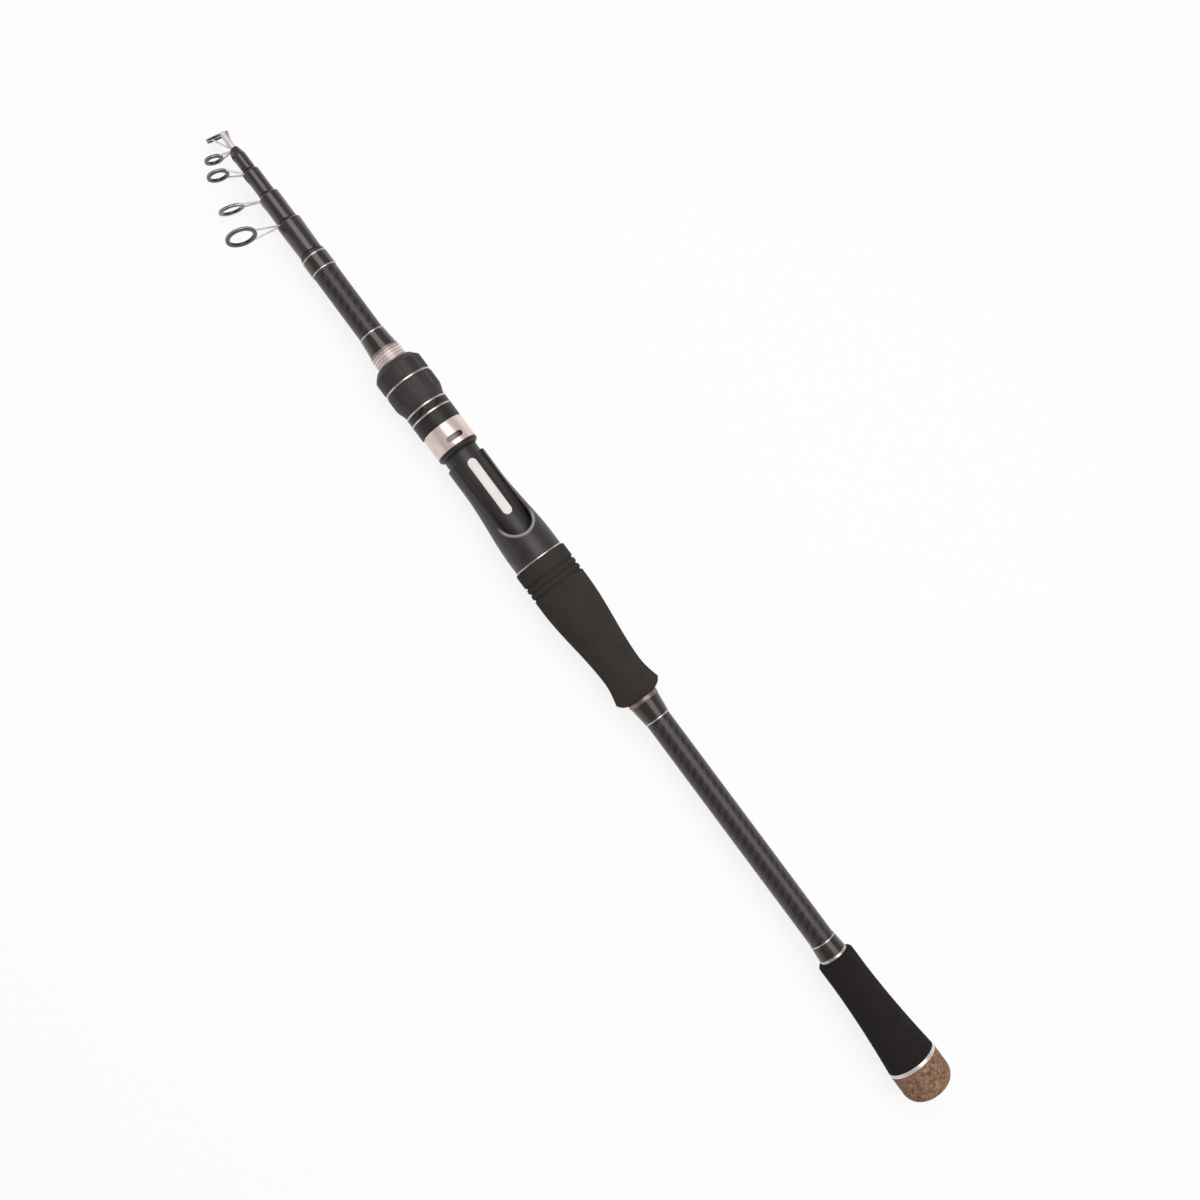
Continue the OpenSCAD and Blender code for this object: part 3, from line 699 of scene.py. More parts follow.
# Main grip: the same foam in one turned length, with three grooves round its front swell, a slim
# waist and a flare behind. A check ring closes its rear end.
grip_r = 12.8
waist_r = 9.57
flare_r = 11.4
grip_swell = 19
flare_len = 11
flare_bevel_len = 3.2
flare_bevel = 3.6
flare_soft = 0.9
flare_bulge = 0.35
groove_r = 0.6
groove_first = 7.3
groove_pitch = 3.1
groove_lip = 0.78
groove_edge = (0.63, 0.06)
groove_sink = 0.12
grip_front_edge = ((0.6, 0), (0.2, 0.12), (0, 0.4))
check_tint = (150, 134, 124)
check_shade = (116, 102, 94)
main_foam_tint = (58, 53, 50)


def gentle(u):
    return u * u * (3 - 2 * u)


grip_low, grip_high = span("main_grip")
fall_x = grip_high - grip_swell
flare_x = grip_low + flare_bevel_len
waist_x = flare_x + flare_len
flare_side = sweep(flare_x, waist_x, flare_r, waist_r, 24, lambda u: math.sin(math.pi / 2 * u), 2)
bevel_mid = (grip_low + flare_bevel_len / 2 - flare_bulge, flare_r - flare_bevel / 2 + flare_bulge)
bevel = [(grip_low, blank_r), (grip_low, flare_r - flare_bevel), bevel_mid, (flare_x, flare_r)]
grip_side = eased(bevel + flare_side[:1], flare_soft, 6, ring=False) + flare_side[1:]
grip_side += sweep(waist_x, fall_x, waist_r, grip_r, 32, gentle)
for i in (2, 1, 0):
    groove_x = grip_high - groove_first - i * groove_pitch
    edge, edge_r = groove_edge[0], grip_r - groove_edge[1]
    grip_side += [(groove_x - groove_lip, grip_r), (groove_x - edge, edge_r)]
    grip_side += arc(groove_x, grip_r - groove_sink, groove_r, 180, 360, 10)
    grip_side += [(groove_x + edge, edge_r), (groove_x + groove_lip, grip_r)]
grip_side += [(grip_high - back, grip_r - drop) for back, drop in grip_front_edge] + [(grip_high, blank_r)]
main_grip = turned("main_grip_foam", grip_side, turns=176)
stand_for(main_grip, foam_finish("main_grip_foam", main_foam_tint), "main_grip")
check_metal = turned_metal("grip_check_metal", check_tint, check_shade, 0.4)
ring_for("grip_check", "grip_check_ring", blank_r, check_soft, check_metal)

# Reel seat: a moulded body with a fixed hood, slid over a hard barrel that the reel foot rests on,
# with a pale inlay let into the barrel. Arbors under it fill the space down to the blank.
seam_soft = 0.25
seat_r = (11.85, 9.5)
barrel_r = 8.2
barrel_bore = 6.9
barrel_soft = 0.3
seat_swell = 5
seat_fall = 36
channel_half = 7.5
mouth_from_rear = 19.5
pocket_from_rear = 3
pocket_step = 0.05
pocket_top = 10.4
seat_lip = 0.4
lip_bend = (0.25, 0.5, 0.75, 1)
front_lip = ((0.5, 0.13), (0.13, 0.5), (0, 1))
skin_steps, roof_steps, bore_steps = 80, 6, 60
rear_rows, mouth_rows, front_rows = 10, 24, 60
bead_out = 0.6
bead_r = 0.8
bead_sink = 0.3
bead_reach = 1.5
bead_from_z = (4, 6)
bead_end_steps, bead_bend_steps, bead_ramp_steps = 8, 48, 12
# Painted highlight colour for the rim of the U mouth.
rim_painted_highlight_tint = (150, 144, 146)
inlay_size = (29.4, 4.4)
inlay_from_step = 1.4
inlay_proud = 0.06
inlay_steps = 96
seat_tint = (48, 43, 42)
barrel_tint = (46, 41, 41)
# Painted light: a lighter grey on the barrel beside the channel walls, over a band this wide, where the walls cast
# shade.
barrel_painted_light_tint = (92, 85, 85)
barrel_painted_light_width = 2
# Painted light: a lighter grey on the channel walls, where they lie in shade.
channel_painted_light_tint = (104, 97, 96)
shade_reach = 6.0
shade_end = 1
inlay_white = (238, 230, 228)
inlay_shade = (224, 214, 212)
arbor_tint = (196, 172, 134)

ring_for("seam_ring", "seam_ring_bright", blank_r, seam_soft, bright_trim)
seat_low, seat_high = span("seat_body")
mouth_x = seat_low + mouth_from_rear
pocket_x = seat_low + pocket_from_rear


def seat_reach(x):
    return seat_r[0] - (seat_r[0] - seat_r[1]) * gentle(held((x - seat_low - seat_swell) / seat_fall))


def seat_inside(angle):
    aside = math.sin(angle)
    if math.cos(angle) <= 0 or aside > channel_half / barrel_r:
        return barrel_r
    return min(pocket_top, channel_half / max(aside, 1e-6))


def part_way(start, end, steps):
    return [start + (end - start) * i / steps for i in range(steps)]


def seat_row(x, half, drop=0.0, pocketed=True):
    r = seat_reach(x) - drop
    lip = seat_lip * held((x - mouth_x) / bead_reach) if half else 0
    skin_start = math.asin(half / r) + lip / r
    wall_angle = math.asin(half / min(pocket_top, r - 2 * seat_lip))
    corner = Vector((half, math.sqrt(r * r - half * half)))
    from_skin = Vector((r * math.sin(skin_start), r * math.cos(skin_start)))
    to_wall = corner - Vector((0, lip))
    outer = part_way(skin_start, math.pi, skin_steps) + [math.pi]
    bend = [(1 - t) ** 2 * from_skin + 2 * t * (1 - t) * corner + t * t * to_wall for t in lip_bend]
    roof_end = max(wall_angle, math.asin(channel_half / pocket_top))
    wall_end = math.asin(channel_half / barrel_r)
    inner = part_way(wall_angle, roof_end, roof_steps) + part_way(roof_end, wall_end, roof_steps)
    inner += part_way(wall_end, math.pi, bore_steps) + [math.pi]
    skin = [(r * math.sin(a), r * math.cos(a)) for a in outer]
    reach = [seat_inside(a) if pocketed else barrel_r for a in inner]
    bore = [(s * math.sin(a), s * math.cos(a)) for s, a in zip(reach, inner)]
    half_loop = bore[::-1] + [tuple(p) for p in reversed(bend)] + skin
    return [(x, y, z) for y, z in half_loop + [(-y, z) for y, z in half_loop[-2:0:-1]]]


mouth_rear = mouth_x - channel_half
seat_rows = [seat_row(x, 0, pocketed=False) for x in (seat_low, pocket_x)]
rear_places = part_way(pocket_x, mouth_rear, rear_rows)[1:] + [mouth_rear]
seat_rows += [seat_row(x, 0) for x in [pocket_x + pocket_step] + rear_places]
closed_rows = len(seat_rows)
for i in range(1, mouth_rows + 1):
    a = math.pi / 2 * i / mouth_rows
    seat_rows.append(seat_row(mouth_x - channel_half * math.cos(a), channel_half * math.sin(a)))
front_x = seat_high - seat_lip
front_places = part_way(mouth_x, front_x, front_rows)[1:] + [front_x]
seat_rows += [seat_row(x, channel_half) for x in front_places]
seat_rows += [seat_row(seat_high - seat_lip * s, channel_half, seat_lip * d) for s, d in front_lip]
around = len(seat_rows[0])
bore_count = 2 * roof_steps + bore_steps + 1
slit = range(bore_count - 1, bore_count + len(lip_bend))
slit = {*slit, *(around - 1 - k for k in slit)}
rows = ring_rows(len(seat_rows), around)
faces = []
for i, (a, b) in enumerate(zip(rows, rows[1:])):
    faces += [face for k, face in enumerate(quads(a, b)) if i + 1 >= closed_rows or k not in slit]
faces.append(tuple(rows[-1]))
seat = new_piece("seat_body_moulded", [p for row in seat_rows for p in row], faces, weld=True)


def stacked(count, around):
    rows = ring_rows(count, around)
    faces = [face for a, b in zip(rows, rows[1:]) for face in quads(a, b)]
    return faces + [tuple(rows[0]), tuple(rows[-1])]


def wire(name, path, radii, sides=20):
    points = []
    path = [Vector(p) for p in path]
    aside = None
    for i, here in enumerate(path):
        ahead = (path[min(i + 1, len(path) - 1)] - path[max(i - 1, 0)]).normalized()
        if aside is None:
            aside = ahead.orthogonal().normalized()
        aside = (aside - aside.project(ahead)).normalized()
        across = ahead.cross(aside)
        for a in turns_round(sides):
            points.append(tuple(here + radii[i] * (math.cos(a) * aside + math.sin(a) * across)))
    return new_piece(name, points, stacked(len(path), sides))


bead_y = channel_half + bead_out
bead_plan = [(mouth_x + bead_reach * (1 - i / bead_end_steps), bead_y) for i in range(bead_end_steps)]
bead_plan += arc(mouth_x, 0, bead_y, 90, 270, bead_bend_steps)
bead_plan += [(mouth_x + bead_reach * (i + 1) / bead_end_steps, -bead_y) for i in range(bead_end_steps)]
bead_path = [(x, y, math.sqrt(seat_reach(x) ** 2 - y * y) - bead_sink) for x, y in bead_plan]
bead_count = len(bead_plan)
ramp = [min(1, (i + 1) / bead_ramp_steps, (bead_count - i) / bead_ramp_steps) for i in range(bead_count)]
bead = wire("bead", bead_path, [bead_r * math.sin(math.pi / 2 * share) for share in ramp])
seat = gathered("seat_body_moulded", [seat, bead])


def off_by(value, middle):
    return reckon("ABSOLUTE", reckon("SUBTRACT", value, middle))


def overlay(material, share, tint):
    shader = material.node_tree.nodes["Principled BSDF"]
    under = shader.inputs["Base Color"].links[0].from_socket
    wire_up(shader, Base_Color=blended(share, under, tint))


seat_plastic = moulded("seat_plastic", seat_tint, 0.4, 0.35, 0.000025)
where = apply_effect(seat_plastic.node_tree, place_effect)
past_mouth = reckon("SUBTRACT", where["Along mm"], mouth_x)
behind = reckon("MINIMUM", past_mouth, 0.0)
from_mouth = reckon("SQRT", weighed((behind, behind), (where["Aside mm"], where["Aside mm"])))
# Painted highlight: the seat's colour is lifted to pale grey along the bead round the U mouth, on its upper side
# only, fading out toward the ends of its arms.
off_bead = off_by(from_mouth, bead_y)
lip = spread(off_bead, bead_r * 0.5, bead_r * 1.1, 1.0, 0.0)
lip = times(lip, spread(past_mouth, -2 * bead_reach, bead_reach, 1.0, 0.0))
lip = times(lip, spread(where["Up mm"], *bead_from_z))
overlay(seat_plastic, lip, rim_painted_highlight_tint)
# Painted light: the seat's walls inside the reel foot channel, in front of the mouth, are painted lighter to take
# out the shade that falls on them.
off_middle = reckon("ABSOLUTE", where["Aside mm"])
channel_painted_light = spread(off_middle, channel_half + 0.05, channel_half + 0.15, 1.0, 0.0)
channel_painted_light = times(channel_painted_light, spread(past_mouth, 0.0, shade_reach))
overlay(seat_plastic, channel_painted_light, channel_painted_light_tint)
stand_for(seat, seat_plastic, "seat_body")

barrel_plastic = moulded("barrel_plastic", barrel_tint, 0.42, 0.35, 0.000025)
where = apply_effect(barrel_plastic.node_tree, place_effect)
# Painted light: the barrel is lightened next to each channel wall, from the mouth to near the seat's front, to
# take out the shade in the groove between barrel and wall.
past_mouth = reckon("SUBTRACT", where["Along mm"], mouth_x)
off_middle = reckon("ABSOLUTE", where["Aside mm"])
barrel_painted_light = spread(off_middle, channel_half - barrel_painted_light_width, channel_half)
barrel_painted_light = times(barrel_painted_light, spread(past_mouth, 0.0, shade_reach))
barrel_painted_light = times(barrel_painted_light, spread(where["Along mm"], seat_high - shade_end, seat_high, 1.0, 0.0))
overlay(barrel_plastic, barrel_painted_light, barrel_painted_light_tint)
barrel = bush("seat_barrel_hard", *span("seat_barrel"), barrel_bore, barrel_r, barrel_soft)
stand_for(barrel, barrel_plastic, "seat_barrel")

inlay_finish, tree, shader = finish("inlay_white", {"Roughness": 0.35, "IOR": 1.5})
grain = apply_effect(tree, grain_effect, {"Size mm": 0.7})
share = weighed((grain["Cloud"], 0.6), (grain["Grain"], 0.4))
wire_up(
    shader, Base_Color=blended(share, inlay_white, inlay_shade),
    Normal=relief(grain["Grain"], 0.00001, 0.4))
inlay_x = seat_high - inlay_from_step - inlay_size[0] / 2
inlay_half = (inlay_size[0] - inlay_size[1]) / 2
loops = [(0.0, -0.4), (0.0, 0.0), (0.05, 0.045), (0.14, inlay_proud)]
loops += [(0.4 + 0.3 * i, inlay_proud) for i in range(6)]
points = []
for inset, lift in loops:
    end_r = inlay_size[1] / 2 - inset
    for a in turns_round(inlay_steps, 0.5):
        side = math.copysign(inlay_half, math.cos(a))
        y = end_r * math.sin(a)
        points.append((inlay_x + side + end_r * math.cos(a), y, math.sqrt((barrel_r + lift) ** 2 - y * y)))
inlay = new_piece("seat_inlay_pale", points, stacked(len(loops), inlay_steps))
stand_for(inlay, inlay_finish, "seat_inlay")
paint("seat_arbors", moulded("arbor_foam", arbor_tint, 0.85, 0.5, 0.00008, 1.3))

# Seat thread: an aluminium sleeve with a rolled thread, glued on the blank in front of the barrel
# for the lock nut to run on.
seat_pitch = 1.5
seat_thread_depth = 0.55
thread_step = 0.12
thread_tint = (243, 232, 229)
thread_shade = (233, 220, 217)
# Painted shade colour for the thread's grooves.
groove_painted_shade_tint = (194, 180, 176)
groove_shade_fade = (0.22, 0.38)
lacquer_run = (92, 77, 73)
run_share = 0.8
run_reach = 2.6
run_drop = 0.4

thread_low, thread_high = span("thread_sleeve")
thread_r = girth("thread_sleeve")
thread_metal = turned_metal("rolled_thread", thread_tint, thread_shade, 0.4, 0.1, 0.000002, metal=0.56)
where = apply_effect(thread_metal.node_tree, place_effect)
# Painted shade: the thread is darkened in its grooves, following the helix, for the shade that falls there.
ridge_turn = reckon("ADD", reckon("DIVIDE", where["Along mm"], seat_pitch), where["Around"])
off_crest = off_by(reckon("FRACT", ridge_turn), 0.5)
overlay(thread_metal, spread(off_crest, *groove_shade_fade), groove_painted_shade_tint)
lacquer_share = spread(where["Along mm"], thread_high - run_reach, thread_high, 0.0, run_share)
overlay(thread_metal, lacquer_share, lacquer_run)
rolled = thread_groove(thread_low, thread_high, seat_pitch, seat_thread_depth)


def rolled_out(x, r, angle):
    run_out = max(0, (x - thread_high + run_reach) / run_reach)
    return rolled(x, r - run_drop * run_out * run_out, angle)


sleeve_side = dense([(thread_low, thread_r), (thread_high, thread_r)], thread_step)
sleeve_side = [(thread_low, blank_r)] + sleeve_side + [(thread_high, blank_r)]
sleeve = turned("seat_thread_sleeve", sleeve_side, only_at(thread_r, rolled_out), turns=96, sharp=60)
stand_for(sleeve, thread_metal, "thread_sleeve")

# Sliding hood: a brushed metal shell pressed over a black moulded liner, which clamps the front of
# the reel foot. The liner's lip shows behind the shell, and it hangs on the lock nut's tail.
hood_r = 9.7
hood_rise = 2
hood_sides = 180
shell_wall = 0.7
shell_edge = ((0, 0.12), (0.05, 0.04), (0.14, 0))
lip_side = ((0, -1.2), (0.05, -1.05), (0.25, -0.75), (0.75, -0.25), (1, -0.05), (1.2, 0))
hood_bore = 8.3
pocket_len, pocket_half, pocket_roof = 10, 7, 8.4
spigot_r = 8.9
window_size = (8, 2.6)
window_from_lip = 5.6
window_steps = 48
window_spare = 2
hood_bright = (238, 219, 211)
hood_dim = (216, 196, 188)
liner_tint = (41, 36, 35)
# Painted light: a mid grey on the liner under the hood's window, fading out toward -Y.
window_painted_light_tint = (136, 131, 128)
window_light_edge = (1.4, 1.7)
window_light_fade = (-3, 0.5)


def racetrack(r):
    def reach(angle):
        side, up = abs(math.sin(angle)), math.cos(angle)
        if up <= 0:
            return r
        flat = r / side if side > 1e-6 else 1e9
        if flat * up <= hood_rise:
            return flat
        return hood_rise * up + math.sqrt(r * r - (hood_rise * side) ** 2)
    return reach


def foot_pocket(angle):
    side, up = abs(math.sin(angle)), math.cos(angle)
    if up <= 1e-6:
        return hood_bore
    wall = pocket_half / side if side > 1e-6 else 1e9
    return max(hood_bore, min(racetrack(pocket_roof)(angle), wall))


liner_low, liner_high = span("hood_liner")
shell_low, shell_high = span("hood_shell")
window_x = liner_low + window_from_lip
pocket_end = liner_low + pocket_len
outer_track, inner_track = racetrack(hood_r), racetrack(hood_r - shell_wall)
liner_side = [(liner_low, foot_pocket)]
liner_side += [(liner_low + x, racetrack(hood_r + lift)) for x, lift in lip_side]
liner_side += [(shell_low, outer_track), (shell_low, inner_track), (shell_high, inner_track)]
liner_side += [(shell_high, spigot_r), (liner_high, spigot_r), (liner_high, hood_bore)]
liner_side += [(pocket_end, hood_bore), (pocket_end, foot_pocket)]
liner_plastic = moulded("liner_plastic", liner_tint, 0.42, 0.3, 0.00002, 1.35, 0.15)
# Painted light: the black liner is lightened to mid grey under the hood's window, on the +Y side and fading out
# toward -Y, as if lit through the window.
where = apply_effect(liner_plastic.node_tree, place_effect)
off_window = off_by(where["Along mm"], window_x)
window_painted_light = times(spread(off_window, *window_light_edge, 1.0, 0.0), spread(where["Aside mm"], *window_light_fade))
overlay(liner_plastic, window_painted_light, window_painted_light_tint)
liner = turned("hood_liner_black", liner_side, turns=hood_sides, weld=True)
stand_for(liner, liner_plastic, "hood_liner")

shell_side = [(shell_low, inner_track)]
shell_side += [(shell_low + x, racetrack(hood_r - drop)) for x, drop in shell_edge]
shell_side += [(shell_high - x, racetrack(hood_r - drop)) for x, drop in reversed(shell_edge)]
hood = turned("hood_shell_brushed", shell_side + [(shell_high, inner_track)], turns=hood_sides)
end_r = window_size[1] / 2
window_plan = []
for a in turns_round(window_steps, 0.5):
    side = math.copysign(window_size[0] / 2 - end_r, math.sin(a))
    window_plan.append((window_x + end_r * math.cos(a), side + end_r * math.sin(a)))
window_ends = (hood_r - shell_wall - window_spare, hood_r + hood_rise + window_spare)
window_points = [(x, y, z) for z in window_ends for x, y in window_plan]
cutter = new_piece("window", window_points, stacked(2, window_steps))
cut = hood.modifiers.new("window", "BOOLEAN")
cut.operation = "DIFFERENCE"
cut.solver = "EXACT"
cut.object = cutter
bpy.context.view_layer.update()
cut_hood = hood.evaluated_get(bpy.context.evaluated_depsgraph_get())
cut_mesh = bpy.data.meshes.new_from_object(cut_hood)
hood.modifiers.clear()
hood.data = cut_mesh
bpy.data.objects.remove(cutter)
hood.data.set_sharp_from_angle(angle=math.radians(30))
hood_metal = turned_metal("brushed_hood", hood_bright, hood_dim, 0.28, 0.1, 0.000008, 2.0, 0.5)
stand_for(hood, hood_metal, "hood_shell")

# Lock nut: a moulded nut with finger flutes on its grip and front collar, a band of woven carbon
# between two bright rings, and one more ring in front of the grip. It drives the hood along.
nut_core_r = 8.6
nut_r = 11.65
nut_sides = 320
tail_r = 10.25
tail_bore = 9.0
tail_soft = 0.3
grip_rear_r = 10.05
flutes = 8
flute_r = 7
flute_depth = 0.45
flute_soft = 0.3
flute_step = 0.5
nut_edge = ((0, 0.6), (0.3, 0.28), (0.7, 0.08))
nut_edge_len = 1.2
nut_bevel = 2.6
nut_lip = 0.7
nut_bore = thread_r + 0.05
nut_tow = 1.1
nut_tows_round = 56
nut_sheen = 1.36
band_soft = 0.1
ring_spread = 0.06
nut_ring_soft = 0.12
front_ring_proud = 0.12
nut_tint = (46, 41, 40)


def fluted(x, r, angle):
    if r < nut_core_r + 0.3:
        return r
    pitch = 2 * math.pi / flutes
    off = (angle + pitch / 2) % pitch - pitch / 2
    reach = nut_r + flute_r - flute_depth
    if abs(reach * math.sin(off)) >= flute_r:
        return r
    flute_floor = reach * math.cos(off) - math.sqrt(flute_r ** 2 - (reach * math.sin(off)) ** 2)
    gap = max(0, flute_soft - abs(r - flute_floor)) / flute_soft
    return min(r, flute_floor) - gap * gap * flute_soft / 4


nut_plastic = moulded("nut_plastic", nut_tint, 0.57, 0.3, 0.00003, contrast=0.32)
tail_low, tail_high = span("nut_tail")
tail_side = [(tail_low, tail_bore), (tail_high, nut_core_r), (tail_high, tail_r), (tail_low, tail_r)]
stand_for(turned("nut_tail_moulded", eased(tail_side, tail_soft)), liner_plastic, "nut_tail")
band_carbon = woven("nut_band_carbon", nut_tow, nut_tows_round, 0.0, 0.06, nut_sheen)
ring_for("nut_band", "nut_band_woven", nut_core_r, band_soft, band_carbon)


def nut_ring(name, low, high, outer):
    return bush(name, low - ring_spread, high + ring_spread, nut_core_r, outer, nut_ring_soft)


band_low, band_high = span("nut_band")
rings_low, rings_high = span("nut_band_rings")
rings_r = girth("nut_band_rings")
band_rings = [nut_ring("ring", *ends, rings_r) for ends in ((rings_low, band_low), (band_high, rings_high))]
stand_for(gathered("nut_band_rings_bright", band_rings), bright_trim, "nut_band_rings")
front_ring = nut_ring(
    "nut_front_ring_bright", *span("nut_front_ring"), girth("nut_front_ring") + front_ring_proud)
stand_for(front_ring, bright_trim, "nut_front_ring")
grip_low, grip_high = span("nut_grip")
swell_x = (grip_low + grip_high) / 2
nut_side = [(grip_low, nut_core_r), (grip_low, grip_rear_r - 0.15), (grip_low + 0.15, grip_rear_r)]
nut_side += sweep(grip_low, swell_x, grip_rear_r, nut_r, 24, gentle)
nut_side += dense([(swell_x, nut_r), (grip_high - nut_edge_len, nut_r)], flute_step)[1:]
nut_side += [(grip_high - x, nut_r - drop) for x, drop in reversed(nut_edge)] + [(grip_high, nut_core_r)]
nut_grip = turned("nut_grip_fluted", nut_side, fluted, turns=nut_sides)
stand_for(nut_grip, nut_plastic, "nut_grip")
collar_low, collar_high = span("nut_collar")
bevel_x, bevel_r = collar_high - nut_bevel, nut_r - nut_bevel
collar_side = [(collar_low, nut_core_r)] + [(collar_low + x, nut_r - drop) for x, drop in nut_edge]
collar_side += dense([(collar_low + nut_edge_len, nut_r), (bevel_x - 0.8, nut_r)], flute_step)
collar_side += [(bevel_x - 0.3, nut_r - 0.08), (bevel_x, nut_r - 0.28)]
collar_side += dense([(bevel_x + 0.2, nut_r - 0.5), (collar_high - 0.3, bevel_r + 0.22)], 0.4)
collar_side += [(collar_high - 0.1, bevel_r + 0.02), (collar_high, bevel_r - 0.2)]
lip_x = collar_high - nut_lip
collar_side += [(collar_high, nut_bore), (lip_x, nut_bore), (lip_x, nut_core_r)]
nut_collar = turned("nut_collar_fluted", collar_side, fluted, turns=nut_sides)
stand_for(nut_collar, nut_plastic, "nut_collar")
paint("nut_core", screw_plastic)

# Sliding sections: thinner and thinner carbon tubes that nest in the butt blank and jam in one
# another when drawn out. Each carries a lacquered collar that binds the foot of its wire guide.
section_names = ("second", "third", "fourth", "fifth")
section_coat = 0.6
collar_r = [5.8, 4.85, 3.8, 3.1]
collar_flare = [0.35, 0, 0, 0]
collar_fit = 0.05
collar_soft = 0.6
nose_len = [0.8, 0.8, 0.8, 4.2]
nose_drop = [0.8, 0.8, 0.8, 1.1]
tube_wall = [0.75, 0.65, 0.55, 0.45]
half_taper = 0.0009
jam_gap = 0.04
eye_d = [14, 11.8, 10.1, 8.5]
hole_d = [10.2, 8.2, 6.6, 5]
eye_height = [25, 17.5, 13, 9.9]
eye_forward = [1.3, 6.1, 5.1, 0.9]
eye_turn = [24, -29, 3, -8]
eye_lean = math.radians(16)
leg_angle = math.radians(42)
leg_steps = 12
band_wall = 0.45
band_width = 0.3
band_round = 0.2
ring_thick = 1.3
ring_round = 0.6
wire_r = 0.4
foot_spread = 0.6
foot_back = 0.45
foot_sink = 0.15
mound_height = 0.45
mound_len, mound_rise, mound_end = 6.5, 4, 0.8
mound_angle = 0.3
ring_flange = 0.04
collar_black = (40, 29, 30)
collar_brown = (64, 50, 51)
collar_thread = 0.25
collar_gloss = 0.11
steel_bright = (238, 227, 227)
steel_dim = (214, 202, 203)
ceramic_tint = (40, 38, 38)

collar_lacquer = lacquered("collar_lacquer", collar_black, collar_brown, collar_thread, collar_gloss)
guide_steel, tree, shader = finish("guide_steel", {"Metallic": 0.45})
grain = apply_effect(tree, grain_effect, {"Size mm": 0.25})
wire_up(
    shader, Base_Color=blended(grain["Cloud"], steel_bright, steel_dim),
    Roughness=spread(grain["Grain"], 0, 1, 0.34, 0.48),
    Normal=relief(grain["Grain"], 0.000008, 0.4))
guide_ceramic, tree, shader = finish(
    "guide_ceramic", {"IOR": 1.5, "Coat Weight": 0.25, "Coat Roughness": 0.05})
grain = apply_effect(tree, grain_effect, {"Size mm": 0.2})
glaze = blended(grain["Grain"], shaded(ceramic_tint, 0.85), shaded(ceramic_tint, 1.15))
wire_up(
    shader, Base_Color=glaze, Roughness=spread(grain["Cloud"], 0, 1, 0.16, 0.28),
    Normal=relief(grain["Grain"], 0.000006, 0.3))


def bound_foot(stop, heading, inner):
    def carve(x, r, angle):
        if r < inner:
            return r
        off = (angle - heading + math.pi) % (2 * math.pi) - math.pi
        rise = gentle(held((x - stop + mound_len) / mound_rise)) * held((stop - x) / mound_end)
        return r + mound_height * rise * math.exp(-(off / mound_angle) ** 2)
    return carve


def eye_place(x, height, turn, lean=eye_lean):
    spin = Matrix.Rotation(math.radians(turn), 4, "X")
    return spin @ Matrix.Translation((x * 0.001, height * 0.001, 0)) @ Matrix.Rotation(-lean, 4, "Z")


def eye_legs(foot_x, foot_r, x, height, d, turn, lean=eye_lean, fork=leg_angle):
    down = (d / 2 - band_wall / 2) * math.cos(fork)
    out = (d / 2 - band_wall / 2) * math.sin(fork)
    eye = Vector((x - down * math.sin(lean), height - down * math.cos(lean), 0))
    spin = Matrix.Rotation(math.radians(turn), 4, "X")
    legs = []
    for side in (-1, 1):
        foot = Vector((foot_x, foot_r, side * foot_spread))
        top = Vector((eye.x, eye.y, side * out))
        path = [foot + (top - foot) * t / leg_steps for t in range(leg_steps + 1)]
        leg = wire("leg", path, [wire_r] * len(path))
        leg.data.transform(spin)
        legs.append(leg)
    return legs


def eye_band(d, place, width=band_width):
    band = bush("band", -width / 2, width / 2, d / 2 - band_wall, d / 2, band_round, 96)
    band.data.transform(place)
    return band


def eye_ring(name, d, hole, place, thick=ring_thick, width=band_width):
    edge, seat_half, flange_r = thick / 2, width / 2, d / 2 - ring_flange
    rim = [(edge, flange_r), (seat_half, flange_r), (seat_half, d / 2 - band_wall)]
    side = [(-edge, hole / 2), (edge, hole / 2)] + rim + [(-x, r) for x, r in reversed(rim)]
    ring = turned(name, eased(side, ring_round, 8), turns=112, sharp=70)
    ring.data.transform(place)
    return ring


joint_travel = {j["name"]: j["range_m"][1] * 1000 for j in frame["joints"] if "range_m" in j}
section_end = span("butt_blank")[1]
mouth_r = blank_bore
for i, name in enumerate(section_names):
    base_x, end_x = span(name + "_section")
    tube_r = mouth_r - half_taper * joint_travel[name + "_slide"] - jam_gap
    bore_r = tube_r - tube_wall[i]
    side = [(base_x, bore_r + half_taper * (end_x - base_x)), (end_x, bore_r), (end_x, tube_r)]
    side += [(section_end, tube_r), (base_x, tube_r + half_taper * (section_end - base_x))]
    tows = 4 * max(3, round(2 * math.pi * tube_r / blank_tow / 4))
    section = turned(name + "_section_tube", side, turns=96)
    section_carbon = woven(name + "_section_carbon", blank_tow, tows, section_coat, coat_gloss)
    stand_for(section, section_carbon, name + "_section")

    collar_low = span(name + "_collar")[0]
    r, fit_r = collar_r[i], tube_r + collar_fit
    rear_r = r - collar_flare[i]
    side = [(collar_low, fit_r), (collar_low, rear_r - collar_soft), (collar_low + collar_soft, rear_r)]
    side += [(end_x - nose_len[i], r), (end_x, r - nose_drop[i]), (end_x, fit_r)]
    side = dense(eased(side, collar_soft, 6, ring=False), 0.4)
    mound = bound_foot(end_x, math.pi / 2 - math.radians(eye_turn[i]), tube_r + 0.2)
    collar = turned(name + "_collar_lacquered", side, mound, turns=128, sharp=60)
    stand_for(collar, collar_lacquer, name + "_collar")

    eye_x = end_x + eye_forward[i]
    place = eye_place(eye_x, eye_height[i], eye_turn[i])
    foot_r = (tube_r + r) / 2 - foot_sink
    parts = eye_legs(end_x - foot_back, foot_r, eye_x, eye_height[i], eye_d[i], eye_turn[i])
    guide = gathered(name + "_guide_wires", parts + [eye_band(eye_d[i], place)])
    stand_for(guide, guide_steel, name + "_guide_frame")
    ring = eye_ring(name + "_guide_ring_ceramic", eye_d[i], hole_d[i], place)
    stand_for(ring, guide_ceramic, name + "_guide_ring")
    section_end = end_x
    mouth_r = bore_r

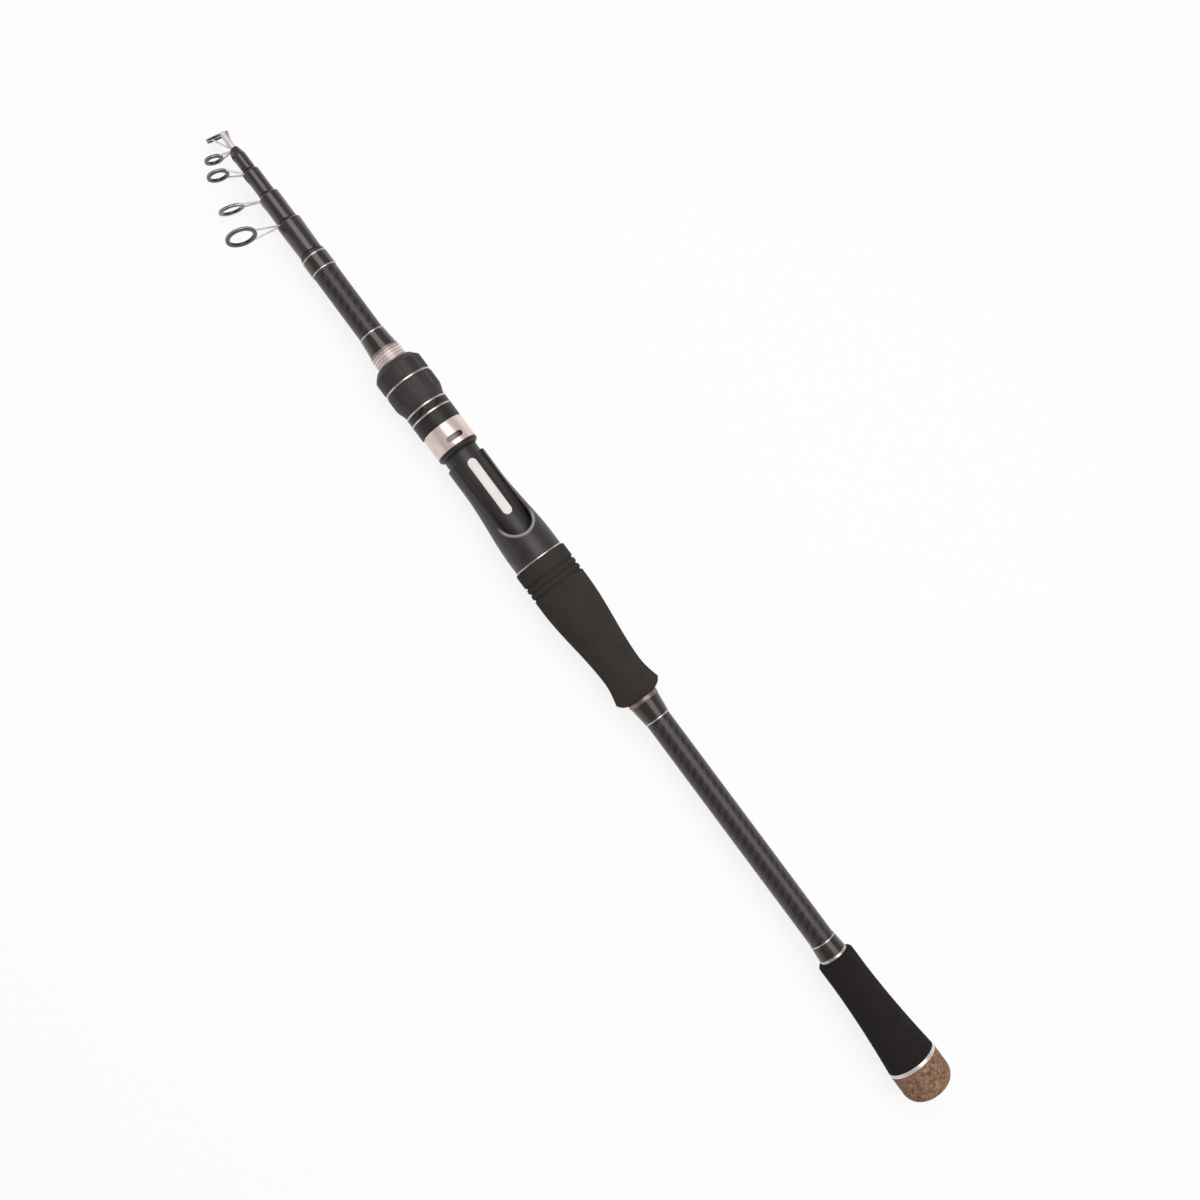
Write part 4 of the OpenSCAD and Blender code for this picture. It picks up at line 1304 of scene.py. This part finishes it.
# Tip: the last section is a solid tapered rod. A tubed guide is glued on its end, with two wires
# that hold the smallest eye.
tip_tows = 8
tip_eye_d = 10.5
tip_hole_d = 5.6
tip_lean = math.radians(28)
tip_fork = math.radians(55)
tip_tube_gap, tip_tube_len, tip_tube_r = 0.1, 8.7, 1.4
tip_tube_edge = 0.15
tip_tube_nose = 0.5
tip_fit = 0.05
tip_solder = 0.5
tip_foot_ahead = 1
tip_turn = -77
tip_band_width = 0.3
tip_ring_thick = 2

base_x, end_x = span("tip_section")
tip_r = mouth_r - half_taper * joint_travel["tip_slide"] - jam_gap
side = [(base_x, 0), (base_x, tip_r + half_taper * (section_end - base_x)), (section_end, tip_r)]
tip = turned("tip_section_rod", side + [(end_x, tip_r), (end_x, 0)], turns=48, ring=False)
stand_for(tip, woven("tip_section_carbon", blank_tow, tip_tows, section_coat, coat_gloss), "tip_section")
tube_low = section_end + tip_tube_gap
tube_high = tube_low + tip_tube_len
nose_x = tube_high - tip_tube_nose
side = [(tube_low, tip_r + tip_fit), (tube_low, tip_tube_r - tip_tube_edge)]
side += [(tube_low + tip_tube_edge, tip_tube_r)]
side += arc(nose_x, tip_tube_r - tip_tube_nose, tip_tube_nose, 90, 0, 6)
side += [(tube_high, 0), (nose_x, 0), (nose_x, tip_r + tip_fit)]
tip_eye_x = tube_high - tip_solder + tip_eye_d / 2 * math.sin(tip_lean)
tip_eye_height = tip_tube_r + tip_eye_d / 2 * math.cos(tip_lean)
place = eye_place(tip_eye_x, tip_eye_height, tip_turn, tip_lean)
tip_foot = (tube_low + tip_foot_ahead, tip_tube_r - wire_r)
parts = eye_legs(*tip_foot, tip_eye_x, tip_eye_height, tip_eye_d, tip_turn, tip_lean, tip_fork)
parts += [eye_band(tip_eye_d, place, tip_band_width), turned("tube", side, turns=64)]
stand_for(gathered("tip_guide_wires", parts), guide_steel, "tip_frame")
tip_ring = eye_ring("tip_ring_ceramic", tip_eye_d, tip_hole_d, place, tip_ring_thick, tip_band_width)
stand_for(tip_ring, guide_ceramic, "tip_ring")
